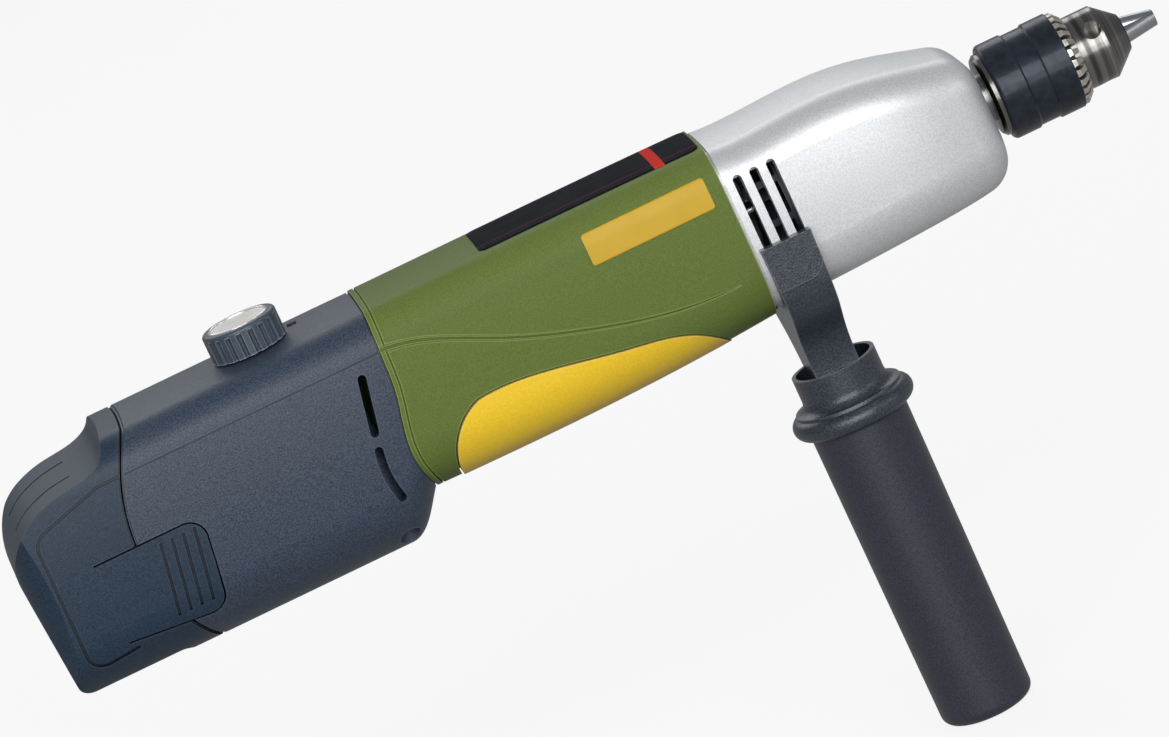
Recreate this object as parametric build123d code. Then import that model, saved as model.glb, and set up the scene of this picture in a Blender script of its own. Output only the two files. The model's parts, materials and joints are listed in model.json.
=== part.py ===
"""Cordless straight die grinder with a keyed three-jaw chuck and a screw-on side handle.

X runs along the spindle towards the chuck, Z runs up through the speed dial.
The origin is on the spindle axis at the mouth of the jaws.  Sizes in mm.
"""
import math
import os
from functools import lru_cache

from build123d import *

# Fits and clearances
RUN = 0.05
SLEEVE_RUN = 0.1
LOOSE = 0.3
SLIDE = 0.4

# Chuck, from the jaw tips back
JAW_REACH = 8.7
JAW_ROD = 2.3
JAW_SLOPE = 0.2045
JAW_TIP_RADIUS = 2.17
JAW_BACK = 31.5
JAW_GAP = 0.1
GRIP_RADIUS = 1.0
NOSE_FRONT_RADIUS = 4.85
NOSE_RADIUS = 9.9
CONE_LENGTH = 5.8
NOSE_LENGTH = 11.8
GROOVE_WIDTH = 4.5
GROOVE_RADIUS = 7.2
HUB_RADIUS = 11.2
HUB_LENGTH = 16.8
HUB_CHAMFER = 1.0
SHANK_RADIUS = 3.3
THREAD_RADIUS = 4.7
THREAD_LENGTH = 10.6
KEY_HOLE_RADIUS = 2.55
KEY_HOLE_BACK = 8.4
KEY_HOLE_DEPTH = 3.7
KEY_HOLE_ANGLE = 144.0
RING_RADIUS = 12.6
RING_LENGTH = 3.0
RING_TEETH = 27
SLEEVE_RADIUS = 13.0
SLEEVE_LENGTH = 20.2
BAND_DEPTH = 0.45
BAND_START = 6.7
BAND_LENGTH = 6.2
SLEEVE_ROUND = 2.2

# Spindle and its two bearings
NECK_RADIUS = 6.5
NECK_SHOW = 1.8
SPINDLE_RADIUS = 6.0
BEARING_RADIUS = 14.0
BEARING_WIDTH = 8.0
BEARING_APART = 12.0
BALL_RADIUS = 2.2
BALL_COUNT = 9
RACE_WALL = 2.6
SEAL_WIDTH = 3.0

# Planet gear stage
MODULE = 0.7
PRESSURE = math.radians(25)
SUN_TEETH = 12
PLANET_TEETH = 18
RING_GEAR_TEETH = SUN_TEETH + 2 * PLANET_TEETH
PLANETS = 3
ADDENDUM = 0.85 * MODULE
RING_ADDENDUM = 0.6 * MODULE
DEDENDUM = 1.1 * MODULE
BACKLASH = 0.12
GEAR_WIDTH = 12.0
GEAR_WALL = 1.8
PIN_RADIUS = 2.0
CARRIER_THICK = 4.0
PLATE_THICK = 3.0

# Gear head
HEAD_LENGTH = 70.8
HEAD_HALF = 23.0
HEAD_TOP = 22.7
HEAD_BOTTOM = -24.8
HEAD_TOP_ROUND = 10.0
HEAD_BOTTOM_ROUND = 14.0
HEAD_FRONT_HALF = 18.0
HEAD_FRONT_TOP = 15.5
HEAD_FRONT_BOTTOM = -20.0
HEAD_TAPER = 31.0
NOSE_ROUND = 9.0
BEAD = 0.7
FAN_BORE = 20.0
SLOT_WIDTH = 2.4
SLOT_PITCH = 4.65
SLOT_TOP = 14.8
SLOT_BOTTOM = -12.0
SLOT_FIRST = 4.1

# Motor housing
HOUSING_LENGTH = 95.3
HOUSING_HALF = 24.2
HOUSING_TOP = 23.8
BELLY_REAR = -27.6
BELLY_MIDDLE = -28.1
BELLY_FRONT = -25.7
HOUSING_TOP_ROUND = 10.0
HOUSING_BOTTOM_ROUND = 17.0
WALL = 2.8
SPIGOT = 5.0
PAD_DEPTH = 1.6
PAD_PROUD = 0.4
PAD_GROOVE = 0.4
CREASE_DEPTH = 0.6
CREASE_WIDTH = 1.0

# Motor
CAN_RADIUS = 19.0
CAN_WALL = 1.5
CAN_LENGTH = 60.0
MOUNT_WALL = 4.0
SHAFT_RADIUS = 2.5
BUSH_RADIUS = 6.0
MAGNET_THICK = 3.6
MAGNET_LENGTH = 40.0
CORE_LENGTH = 34.0
AIR_GAP = 0.5
CORE_SLOTS = 5
COMMUTATOR_RADIUS = 4.5
COMMUTATOR_LENGTH = 6.5
CAP_THICK = 6.0
BRUSH_WIDTH = 4.0
FAN_RADIUS = 18.4
FAN_WIDTH = 8.5
FAN_BLADES = 11

# Rear housing
REAR_LENGTH = 76.0
REAR_HALF = 25.0
REAR_TOP = 23.5
REAR_BOTTOM = -38.5
REAR_TOP_ROUND = 10.0
REAR_BOTTOM_ROUND = 19.0
SHOULDER = 10.2
SPLIT_HEIGHT = 13.5
SPLIT_GROOVE = 0.5
VENT_WIDTH = 2.3
VENT_UPPER = ((9.2, -7.3), (2.5, -8.7), (-4.4, -10.1))
VENT_LOWER = ((-9.1, -11.1), (-15.8, -11.7), (-22.6, -10.6))
SEAM_LINE = ((31.5, 0.9), (23.5, 0.4), (11.7, -0.35), (3.2, -0.9), (-5.7, -2.7), (-14.3, -3.7),
             (-27.4, -0.4), (-46.5, 6.0))
SEAM_RADIUS = 50.0
SEAM_HEIGHT = -6.5
SEAM_GAP = 0.5
SEAM_BEVEL = 0.45
RIM = 1.3
RIM_GROOVE = 0.5
SCREW_RADIUS = 1.4
SCREW_HEAD_RADIUS = 2.7
SCREW_HEAD = 2.4
SCREW_BOSS = 3.2

# Speed dial and control board
DIAL_BACK = 28.6
DIAL_RADIUS = 10.05
DIAL_HEIGHT = 7.7
DIAL_RIBS = 20
CAP_RADIUS = 8.1
CAP_DISC = 1.0
DIAL_SHAFT_RADIUS = 3.0
POT_SIZE = 14.0
BOARD_THICK = 1.6
BOARD_LENGTH = 34.0
BOARD_HALF = 13.0

# Battery
BATTERY_LENGTH = 30.7
BATTERY_WALL = 2.4
BATTERY_BOTTOM = -35.8
BATTERY_STEP = 5.9
BATTERY_ROUND = 14.0
CELL_RADIUS = 9.1
CELL_LENGTH = 65.0
CELL_PITCH = 18.5
CELL_HEIGHT = -9.5
TOWER_WALL = 1.5
CONTACT_SPACE = 6.0
BLADE_HALF = 0.4
BLADE_REACH = 5.0
BLADE_HEIGHT = 3.0
CLIP_WALL = 0.5
CLIP_PLAY = 0.1
LATCH_TOP = -4.5
LATCH_BOTTOM = -29.0
LATCH_ROOT = 12.0
LATCH_TIP = 17.7
LATCH_THICK = 2.4
LATCH_GAP = 0.5
LATCH_ROUND = 4.5
LATCH_PLAY = 0.12
PIVOT_RADIUS = 0.9
PIVOT_DEPTH = 2.6
PIVOT_LENGTH = 9.5

# Side handle, hanging below the head
HANDLE_AHEAD = 8.9
YOKE_WIDTH = 13.8
YOKE_NECK = 12.0
YOKE_BACK = 0.4
YOKE_TOP = -5.0
PAD_BOTTOM = -17.0
CHEEK_THICK = 2.1
CHEEK_PAD = 1.1
POST_RADIUS = 10.0
POST_HALF = 5.9
POST_TOP = -45.0
POST_END = -72.0
STUD_RADIUS = 4.0
STUD_TOP = -24.0
STUD_END = -88.0
BOSS_RADIUS = 5.0
BOSS_END = -34.0
COLLAR_TOP = -45.0
COLLAR_RADIUS = 11.4
FLANGE_RADIUS = 16.6
FLANGE_TOP = -54.4
FLANGE_END = -60.7
GRIP_TOP_RADIUS = 13.1
GRIP_END_RADIUS = 12.5
GRIP_END = -145.6
GRIP_ROUND = 3.0
CORE_RADIUS = 11.2
INSERT_RADIUS = 6.0
INSERT_LENGTH = 14.0

# Bowed faces of the moulded sections
TOP_CROWN = 180.0
SIDE_CROWN = 150.0
BELLY_CROWN = 60.0

# Stations along the spindle axis, worked out from the sizes above
X_NOSE = -JAW_REACH
X_CONE = X_NOSE - CONE_LENGTH
X_NOSE_END = X_CONE - NOSE_LENGTH
X_HUB = X_NOSE_END - GROOVE_WIDTH
X_CHUCK_END = X_HUB - HUB_LENGTH
X_RING = X_NOSE_END + RING_LENGTH + 0.9
X_SLEEVE = X_RING - RING_LENGTH
X_SLEEVE_END = X_SLEEVE - SLEEVE_LENGTH
X_HEAD = X_CHUCK_END - NECK_SHOW
X_BEARING = X_HEAD - 5.3
X_BEARING_REAR = X_BEARING - BEARING_WIDTH - BEARING_APART
X_BEARING_END = X_BEARING_REAR - BEARING_WIDTH
X_CARRIER = X_BEARING_END - 2.0
X_GEAR = X_CARRIER - CARRIER_THICK
X_PLATE = X_GEAR - GEAR_WIDTH
X_FAN_BORE = X_PLATE - PLATE_THICK
X_JOINT = X_HEAD - HEAD_LENGTH
X_MOTOR = X_JOINT - MOUNT_WALL - 2.4
X_CAN_END = X_MOTOR - CAN_LENGTH
X_SEAM = X_JOINT - HOUSING_LENGTH
X_REAR_SEAM = X_SEAM - REAR_LENGTH
X_REAR = X_REAR_SEAM - BATTERY_LENGTH
X_DIAL = X_SEAM - DIAL_BACK
X_HANDLE = X_JOINT + HANDLE_AHEAD
X_CELLS = X_REAR + 8.0
X_TOWER = X_CELLS + CELL_LENGTH + CONTACT_SPACE + TOWER_WALL
PLANET_CENTRE = MODULE * (SUN_TEETH + PLANET_TEETH) / 2
RING_GEAR_RADIUS = MODULE * RING_GEAR_TEETH / 2 + DEDENDUM + GEAR_WALL
SPIN = [i * 360.0 / PLANETS for i in range(PLANETS)]
JAW_ANGLES = [KEY_HOLE_ANGLE + 60.0 + i * 120.0 for i in range(3)]
SIDES = (-1, 1)


# Plain shapes
def block(x0, x1, y0, y1, z0, z1):
    """A box between two corners."""
    size = Box(abs(x1 - x0), abs(y1 - y0), abs(z1 - z0))
    return Pos((x0 + x1) / 2, (y0 + y1) / 2, (z0 + z1) / 2) * size


def turned(*points):
    """A solid turned about the spindle axis from (x, radius) points."""
    outline = make_face(Polyline(*points, close=True))
    return revolve(outline, axis=Axis.X)


def tube(x0, x1, outer, inner=0.0):
    """A ring or bar about the spindle axis."""
    return turned((x0, inner), (x1, inner), (x1, outer), (x0, outer))


def upright(radius, z0, z1, x, y=0.0):
    """A round bar along Z."""
    return Pos(x, y, (z0 + z1) / 2) * Cylinder(radius, abs(z1 - z0))


def crossways(outline, y0, y1):
    """A side-view face, drawn in X and Z, given depth from y0 to y1."""
    return Pos(0, y1, 0) * extrude(Plane.XZ * outline, y1 - y0)


def around(shape, angle):
    """The shape turned about the spindle axis, from +Y towards +Z."""
    return Rot(angle, 0, 0) * shape


def meet(c1, r1, c2, r2):
    """The upper crossing of two circles, seen from the line between their centres."""
    dy, dz = c2[0] - c1[0], c2[1] - c1[1]
    gap = math.hypot(dy, dz)
    along = (gap * gap + r1 * r1 - r2 * r2) / (2 * gap)
    off = math.sqrt(r1 * r1 - along * along)
    foot = (c1[0] + dy * along / gap, c1[1] + dz * along / gap)
    one = (foot[0] - dz * off / gap, foot[1] + dy * off / gap)
    two = (foot[0] + dz * off / gap, foot[1] - dy * off / gap)
    return one, two


def section(x, half, top, bottom, top_round, bottom_round, grow=0.0):
    """A rounded square across the tool at x, every side gently bowed, made of eight arcs."""
    half, top, bottom = half + grow, top + grow, bottom - grow
    top_round, bottom_round = top_round + grow, bottom_round + grow
    middle = (top + bottom) / 2
    crown = (0.0, top - TOP_CROWN)
    flank = (half - SIDE_CROWN, middle)
    belly = (0.0, bottom + BELLY_CROWN)
    upper = max(meet(crown, TOP_CROWN - top_round, flank, SIDE_CROWN - top_round))
    lower = max(meet(belly, BELLY_CROWN - bottom_round, flank, SIDE_CROWN - bottom_round))

    def touch(centre, radius, corner, corner_round):
        k = radius / (radius - corner_round)
        return (centre[0] + (corner[0] - centre[0]) * k, centre[1] + (corner[1] - centre[1]) * k)

    def bend(corner, corner_round, a, b):
        y, z = (a[0] + b[0]) / 2 - corner[0], (a[1] + b[1]) / 2 - corner[1]
        k = corner_round / math.hypot(y, z)
        return (corner[0] + y * k, corner[1] + z * k)

    t = touch(crown, TOP_CROWN, upper, top_round)
    s = touch(flank, SIDE_CROWN, upper, top_round)
    w = touch(flank, SIDE_CROWN, lower, bottom_round)
    b = touch(belly, BELLY_CROWN, lower, bottom_round)
    up_mid = bend(upper, top_round, t, s)
    low_mid = bend(lower, bottom_round, w, b)
    side_z = (s[1] + w[1]) / 2
    side_y = flank[0] + math.sqrt(SIDE_CROWN ** 2 - (side_z - flank[1]) ** 2)

    def other(p):
        return (-p[0], p[1])

    edges = [
        ThreePointArc(other(b), (0.0, bottom), b),
        ThreePointArc(b, low_mid, w),
        ThreePointArc(w, (side_y, side_z), s),
        ThreePointArc(s, up_mid, t),
        ThreePointArc(t, (0.0, top), other(t)),
        ThreePointArc(other(t), other(up_mid), other(s)),
        ThreePointArc(other(s), (-side_y, side_z), other(w)),
        ThreePointArc(other(w), other(low_mid), other(b)),
    ]
    plane = Plane(origin=(x, 0, 0), x_dir=(0, 1, 0), z_dir=(1, 0, 0))
    return plane * make_face(edges)


@lru_cache(maxsize=None)
def form(stations, grow=0.0):
    """A smooth moulded body through its cross-sections, grown or shrunk evenly."""
    return loft([section(*station, grow=grow).face() for station in stations])


# The outer forms
def head_stations():
    """Cross-sections of the gear head, from its joint to its sloping front."""
    stations = []
    for back in (HEAD_LENGTH, HEAD_TAPER + 18, HEAD_TAPER + 4, HEAD_TAPER - 4, 0.45 * HEAD_TAPER, 0.0):
        part = min(back / HEAD_TAPER, 1.0)
        half = HEAD_FRONT_HALF + (HEAD_HALF - HEAD_FRONT_HALF) * (1 - (1 - part) ** 1.8)
        top = HEAD_TOP - (HEAD_TOP - HEAD_FRONT_TOP) * (1 - part)
        bottom = HEAD_FRONT_BOTTOM + (HEAD_BOTTOM - HEAD_FRONT_BOTTOM) * (back / HEAD_LENGTH) ** 0.5
        rounds = (min(HEAD_TOP_ROUND, 0.75 * top), min(HEAD_BOTTOM_ROUND, 0.75 * half))
        stations.append((X_HEAD - back, half, top, bottom, *rounds))
    return tuple(stations)


def housing_stations():
    """Cross-sections of the motor housing, a little beyond its rear seam."""
    rounds = (HOUSING_TOP_ROUND, HOUSING_BOTTOM_ROUND)
    return (
        (X_SEAM - 10, HOUSING_HALF - 0.2, HOUSING_TOP, BELLY_REAR, *rounds),
        (X_SEAM + 0.27 * HOUSING_LENGTH, HOUSING_HALF, HOUSING_TOP, BELLY_MIDDLE, *rounds),
        (X_SEAM + 0.65 * HOUSING_LENGTH, HOUSING_HALF - 0.2, HOUSING_TOP, BELLY_MIDDLE + 0.5, *rounds),
        (X_JOINT, HOUSING_HALF - 0.6, HOUSING_TOP - 0.3, BELLY_FRONT, *rounds),
    )


@lru_cache(maxsize=None)
def rear_form(grow=0.0):
    """Outside of the rear housing and battery: a shoulder, then one even section to the rear."""
    stations = []
    for along, grown in ((-0.45, -0.45), (0.45, 0.45), (0.9, 0.9), (1.2, 1.0)):
        half = HOUSING_HALF - 0.2 + (REAR_HALF - HOUSING_HALF + 0.2) * grown
        bottom = BELLY_REAR + (REAR_BOTTOM - BELLY_REAR) * grown
        rounded = HOUSING_BOTTOM_ROUND + (REAR_BOTTOM_ROUND - HOUSING_BOTTOM_ROUND) * grown
        stations.append((X_SEAM - SHOULDER * along, half, REAR_TOP, bottom, REAR_TOP_ROUND, rounded))
    last = stations[-1]
    rest = extrude(section(*last, grow=grow), X_REAR - 2 - last[0], dir=(1, 0, 0))
    return form(tuple(stations), grow) + rest


def seam_front(shift=0.0):
    """Everything behind the curved seam between motor housing and rear housing."""
    line = [(X_SEAM + ahead + shift, height) for height, ahead in SEAM_LINE]
    top, bottom = line[0], line[-1]
    outline = make_face([
        Spline(*line),
        Polyline(bottom, (X_REAR - 20, bottom[1]), (X_REAR - 20, top[1]), top),
    ])
    return crossways(outline, -60, 60)


def seam_rear(shift=0.0):
    """Everything behind the bowed seam between rear housing and battery."""
    x = X_REAR_SEAM + SEAM_RADIUS
    behind = block(X_REAR - 20, x, -60, 60, SEAM_HEIGHT - 45, SEAM_HEIGHT + 45)
    drum = Pos(x + shift, 0, SEAM_HEIGHT) * Rot(90, 0, 0) * Cylinder(SEAM_RADIUS, 140)
    return behind - drum


# Chuck
def jaw_rod(radius, front, back):
    """A round bar along the slanted path of the uppermost jaw."""
    angle = math.degrees(math.atan(JAW_SLOPE))
    middle = (front + back) / 2
    offset = JAW_TIP_RADIUS - JAW_ROD * math.hypot(1, JAW_SLOPE)
    length = (front - back) * math.hypot(1, JAW_SLOPE)
    bar = Rot(0, 90 + angle, 0) * Cylinder(radius, length)
    return Pos(middle, 0, offset - JAW_SLOPE * middle) * bar


def chuck_body():
    body = turned(
        (X_CHUCK_END, 0), (X_CHUCK_END, HUB_RADIUS - HUB_CHAMFER),
        (X_CHUCK_END + HUB_CHAMFER, HUB_RADIUS), (X_HUB, HUB_RADIUS), (X_HUB, GROOVE_RADIUS),
        (X_NOSE_END, GROOVE_RADIUS), (X_NOSE_END, NOSE_RADIUS), (X_CONE, NOSE_RADIUS),
        (X_NOSE, NOSE_FRONT_RADIUS), (X_NOSE, 0))
    body -= tube(X_CHUCK_END + THREAD_LENGTH, X_NOSE + 1, SHANK_RADIUS)
    body -= tube(X_CHUCK_END - 1, X_CHUCK_END + THREAD_LENGTH, THREAD_RADIUS + RUN)
    key_hole = Pos(X_NOSE - KEY_HOLE_BACK, NOSE_RADIUS + 2 - (KEY_HOLE_DEPTH + 2) / 2, 0)
    key_hole *= Rot(90, 0, 0) * Cylinder(KEY_HOLE_RADIUS, KEY_HOLE_DEPTH + 2)
    for angle in JAW_ANGLES:
        body -= around(jaw_rod(JAW_ROD + RUN, 4, X_CHUCK_END + 3.6), angle - 90)
        body -= around(key_hole, angle - 60)
    return body


def chuck_jaw(angle):
    """One jaw: a slanted rod with two flats that meet its neighbours and a grip arc."""
    apex = JAW_GAP / math.sqrt(3)
    wide = 20.0
    wedge = make_face(Polyline((0, apex), (wide, apex + wide / math.sqrt(3)),
                               (-wide, apex + wide / math.sqrt(3)), close=True))
    plane = Plane(origin=(-JAW_BACK - 10, 0, 0), x_dir=(0, 1, 0), z_dir=(1, 0, 0))
    jaw = jaw_rod(JAW_ROD, 4, -JAW_BACK) & extrude(plane * wedge, JAW_BACK + 10)
    jaw -= tube(-JAW_BACK - 5, 5, GRIP_RADIUS)
    return around(jaw, angle - 90)


def chuck_gear_ring():
    """The key ring: bevel teeth round its front edge."""
    bevel = 1.9
    ring = turned(
        (X_SLEEVE, NOSE_RADIUS + SLEEVE_RUN), (X_RING, NOSE_RADIUS + SLEEVE_RUN),
        (X_RING, RING_RADIUS - bevel), (X_RING - bevel, RING_RADIUS), (X_SLEEVE, RING_RADIUS))
    notch = make_face(Polyline((-0.3, -1.1), (0.3, -1.1), (0.85, 1.2), (-0.85, 1.2), close=True))
    cut = extrude(notch, 4.4, both=True)
    inset = bevel / 2 + 0.3
    cut = Pos(X_RING - inset, 0, RING_RADIUS - inset) * Rot(0, 135, 0) * Rot(0, 0, 90) * cut
    return ring - [around(cut, i * 360 / RING_TEETH) for i in range(RING_TEETH)]


def chuck_sleeve():
    sleeve = turned(
        (X_SLEEVE_END, HUB_RADIUS + SLEEVE_RUN), (X_SLEEVE, HUB_RADIUS + SLEEVE_RUN),
        (X_SLEEVE, SLEEVE_RADIUS - 0.3), (X_SLEEVE - 0.3, SLEEVE_RADIUS),
        (X_SLEEVE - BAND_START, SLEEVE_RADIUS), (X_SLEEVE - BAND_START - 0.5, SLEEVE_RADIUS - BAND_DEPTH),
        (X_SLEEVE - BAND_START - BAND_LENGTH + 0.5, SLEEVE_RADIUS - BAND_DEPTH),
        (X_SLEEVE - BAND_START - BAND_LENGTH, SLEEVE_RADIUS), (X_SLEEVE_END, SLEEVE_RADIUS))
    rim = sleeve.edges().filter_by(GeomType.CIRCLE).sort_by(Axis.X)
    rear = [e for e in rim if abs(e.center().X - X_SLEEVE_END) < 0.01 and e.radius > SLEEVE_RADIUS - 0.1]
    return fillet(rear, min(SLEEVE_ROUND, SLEEVE_RADIUS - HUB_RADIUS - SLEEVE_RUN - 0.3))


def chuck_nut():
    """The ring that drives the jaws, its bore coned to the slope of their backs."""
    front, back = X_NOSE_END - 0.1, X_HUB + 0.1
    clear = JAW_TIP_RADIUS + 3 * RUN
    return turned(
        (back, clear - JAW_SLOPE * back), (front, clear - JAW_SLOPE * front),
        (front, HUB_RADIUS + SLEEVE_RUN), (back, HUB_RADIUS + SLEEVE_RUN))


# Spindle and bearings
def spindle():
    return turned(
        (X_CHUCK_END + THREAD_LENGTH - 0.2, 0), (X_CHUCK_END + THREAD_LENGTH - 0.2, THREAD_RADIUS),
        (X_CHUCK_END, THREAD_RADIUS), (X_CHUCK_END, NECK_RADIUS), (X_BEARING, NECK_RADIUS),
        (X_BEARING, SPINDLE_RADIUS), (X_GEAR, SPINDLE_RADIUS), (X_GEAR, 0))


def bearing_balls(front):
    """A ring of balls, touching both races all but for the running clearance."""
    pitch = (BEARING_RADIUS + SPINDLE_RADIUS) / 2
    middle = front - BEARING_WIDTH / 2
    ball = Pos(middle, pitch, 0) * Sphere(BALL_RADIUS)
    return [around(ball, i * 360 / BALL_COUNT) for i in range(BALL_COUNT)]


def bearing_track(front):
    pitch = (BEARING_RADIUS + SPINDLE_RADIUS) / 2
    circle = Pos(front - BEARING_WIDTH / 2, pitch) * Circle(BALL_RADIUS + RUN)
    return revolve(circle, axis=Axis.X)


def bearing_outer(front):
    ring = tube(front - BEARING_WIDTH, front, BEARING_RADIUS, BEARING_RADIUS - RACE_WALL)
    return ring - bearing_track(front)


def bearing_inner(front):
    ring = tube(front - BEARING_WIDTH, front, SPINDLE_RADIUS + RACE_WALL, SPINDLE_RADIUS)
    return ring - bearing_track(front)


def bearing_spacer():
    return tube(X_BEARING_REAR, X_BEARING - BEARING_WIDTH, BEARING_RADIUS, BEARING_RADIUS - 1.6)


def nose_seal():
    return tube(X_BEARING + 0.6, X_BEARING + 0.6 + SEAL_WIDTH, BEARING_RADIUS - 2, NECK_RADIUS + SLEEVE_RUN)


# Planet gear stage
def gear_face(teeth, tip, root, slack):
    """A spur gear outline with a tooth centred on +Y; slack thins or widens each tooth."""
    pitch = MODULE * teeth / 2
    base = pitch * math.cos(PRESSURE)
    pitch_half = math.pi / (2 * teeth) - slack / (2 * pitch) + math.tan(PRESSURE) - PRESSURE

    def flank(radius):
        a = math.acos(min(1.0, base / radius))
        return pitch_half - (math.tan(a) - a)

    def at(radius, angle):
        return (radius * math.cos(angle), radius * math.sin(angle))

    start = max(root, base)
    middle = (start + tip) / 2
    edges = []
    for i in range(teeth):
        c = 2 * math.pi * i / teeth
        n = c + 2 * math.pi / teeth
        low = flank(start)
        if start > root + 1e-6:
            edges.append(Line(at(root, c - low), at(start, c - low)))
            edges.append(Line(at(start, c + low), at(root, c + low)))
        half = flank(middle)
        edges.append(ThreePointArc(at(start, c - low), at(middle, c - half), at(tip, c - flank(tip))))
        edges.append(ThreePointArc(at(tip, c - flank(tip)), at(tip, c), at(tip, c + flank(tip))))
        edges.append(ThreePointArc(at(tip, c + flank(tip)), at(middle, c + half), at(start, c + low)))
        edges.append(ThreePointArc(at(root, c + low), at(root, (c + n) / 2), at(root, n - low)))
    return make_face(edges)


def gear_solid(face, x0, x1):
    plane = Plane(origin=(x0, 0, 0), x_dir=(0, 1, 0), z_dir=(1, 0, 0))
    return extrude(plane * face, x1 - x0)


def sun_gear():
    pitch = MODULE * SUN_TEETH / 2
    face = gear_face(SUN_TEETH, pitch + ADDENDUM, pitch - DEDENDUM, BACKLASH)
    return gear_solid(face, X_PLATE - 2, X_GEAR - 0.8) - tube(X_FAN_BORE - 5, X_GEAR, SHAFT_RADIUS)


def planet_gear(angle):
    """A planet wheel on its pin, turned half a tooth so that it meshes with sun and ring."""
    pitch = MODULE * PLANET_TEETH / 2
    face = gear_face(PLANET_TEETH, pitch + ADDENDUM, pitch - DEDENDUM, BACKLASH)
    wheel = gear_solid(face, X_PLATE + 0.5, X_GEAR - 0.3)
    wheel -= tube(X_PLATE, X_GEAR, PIN_RADIUS + RUN)
    wheel = around(wheel, 180 / PLANET_TEETH)
    a = math.radians(angle)
    return Pos(0, PLANET_CENTRE * math.cos(a), PLANET_CENTRE * math.sin(a)) * wheel


def ring_gear():
    """The fixed internal gear; its tooth spaces are cut with a gear-shaped cutter."""
    pitch = MODULE * RING_GEAR_TEETH / 2
    space = gear_face(RING_GEAR_TEETH, pitch + DEDENDUM, pitch - RING_ADDENDUM, -BACKLASH)
    cutter = around(gear_solid(space, X_PLATE - 1, X_GEAR + 1), 180 / RING_GEAR_TEETH)
    return tube(X_PLATE, X_GEAR, RING_GEAR_RADIUS) - cutter


def planet_pins():
    pin = Pos(0, PLANET_CENTRE, 0) * tube(X_PLATE + 0.5, X_CARRIER, PIN_RADIUS)
    return [around(pin, angle) for angle in SPIN]


def planet_carrier():
    carrier = tube(X_GEAR, X_CARRIER, PLANET_CENTRE + PIN_RADIUS + 1.7, SPINDLE_RADIUS)
    carrier += tube(X_CARRIER, X_BEARING_END, SPINDLE_RADIUS + 2, SPINDLE_RADIUS)
    pin = Pos(0, PLANET_CENTRE, 0) * tube(X_GEAR - 1, X_CARRIER + 1, PIN_RADIUS)
    return carrier - [around(pin, angle) for angle in SPIN]


def gear_plate():
    return tube(X_FAN_BORE, X_PLATE, RING_GEAR_RADIUS, MODULE * SUN_TEETH / 2 + ADDENDUM + 0.8)


# Gear head and motor housing
def head_screw_places():
    """Corners of the joint where a screw clears the motor can and the fan."""
    reach = CAN_RADIUS + SCREW_HEAD_RADIUS + 0.4
    return [(side * reach * math.cos(math.radians(a)), reach * math.sin(math.radians(a)))
            for side in SIDES for a in (54, -48)]


def head_screws():
    screws = []
    for y, z in head_screw_places():
        screw = tube(X_JOINT - MOUNT_WALL, X_JOINT + 9, SCREW_RADIUS)
        screw += tube(X_JOINT - MOUNT_WALL - SCREW_HEAD, X_JOINT - MOUNT_WALL, SCREW_HEAD_RADIUS)
        seat = X_JOINT - MOUNT_WALL
        screw -= gear_solid(RegularPolygon(1.3, 6), seat - SCREW_HEAD - 1, seat - 1)
        screws.append(Pos(0, y, z) * screw)
    return screws


def gear_head():
    """The casting: bearing bores, gear and fan chambers, air slots and the handle boss."""
    head = form(head_stations())
    head = fillet(head.faces().sort_by(Axis.X)[-1].edges(), NOSE_ROUND)
    head += upright(BOSS_RADIUS, BOSS_END, HEAD_BOTTOM + 4, X_HANDLE)
    head -= tube(X_BEARING - 1, X_HEAD + 2, BEARING_RADIUS - 2)
    head -= tube(X_BEARING_END, X_BEARING, BEARING_RADIUS)
    head -= tube(X_GEAR, X_BEARING_END, PLANET_CENTRE + PIN_RADIUS + 2.4)
    head -= tube(X_FAN_BORE, X_GEAR, RING_GEAR_RADIUS)
    head -= tube(X_JOINT - 1, X_FAN_BORE, FAN_BORE)
    head -= upright(STUD_RADIUS, BOSS_END - 1, STUD_TOP, X_HANDLE)
    slot_length = SLOT_TOP - SLOT_BOTTOM
    for i in range(3):
        x = X_JOINT + SLOT_FIRST + i * SLOT_PITCH
        slot = Pos(x, (SLOT_TOP + SLOT_BOTTOM) / 2) * Rot(0, 0, 90) * SlotOverall(slot_length, SLOT_WIDTH)
        for side in SIDES:
            inner, outer = sorted((side * 15.5, side * 40))
            head -= crossways(slot, inner, outer)
    for y, z in head_screw_places():
        head -= Pos(0, y, z) * tube(X_JOINT - 1, X_JOINT + 10, SCREW_RADIUS)
    skin = form(head_stations(), 1) - form(head_stations(), -BEAD)
    return head - (skin & block(X_JOINT - 1, X_JOINT + BEAD, -40, 40, -40, 40))


def pad_outline(grow=0.0):
    """Side view of the soft pad: a round rear end running forward to a point under the belly."""
    low = BELLY_MIDDLE - 6
    rear, front = X_SEAM + 6.5 - grow, X_SEAM + 84 + grow
    top = BELLY_MIDDLE + 19.7 + grow
    return make_face([
        ThreePointArc((rear + 3.4, low), (rear, BELLY_MIDDLE + 8.2), (rear + 10.6, top)),
        Spline((rear + 10.6, top), (X_SEAM + 56.5, BELLY_MIDDLE + 14.5 + grow),
               (X_SEAM + 74, BELLY_MIDDLE + 9.6 + grow), (front, BELLY_MIDDLE - 0.6), (front + 2, low),
               tangents=((1, 0.12), (0.15, -1))),
        Line((front + 2, low), (rear + 3.4, low)),
    ])


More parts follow.
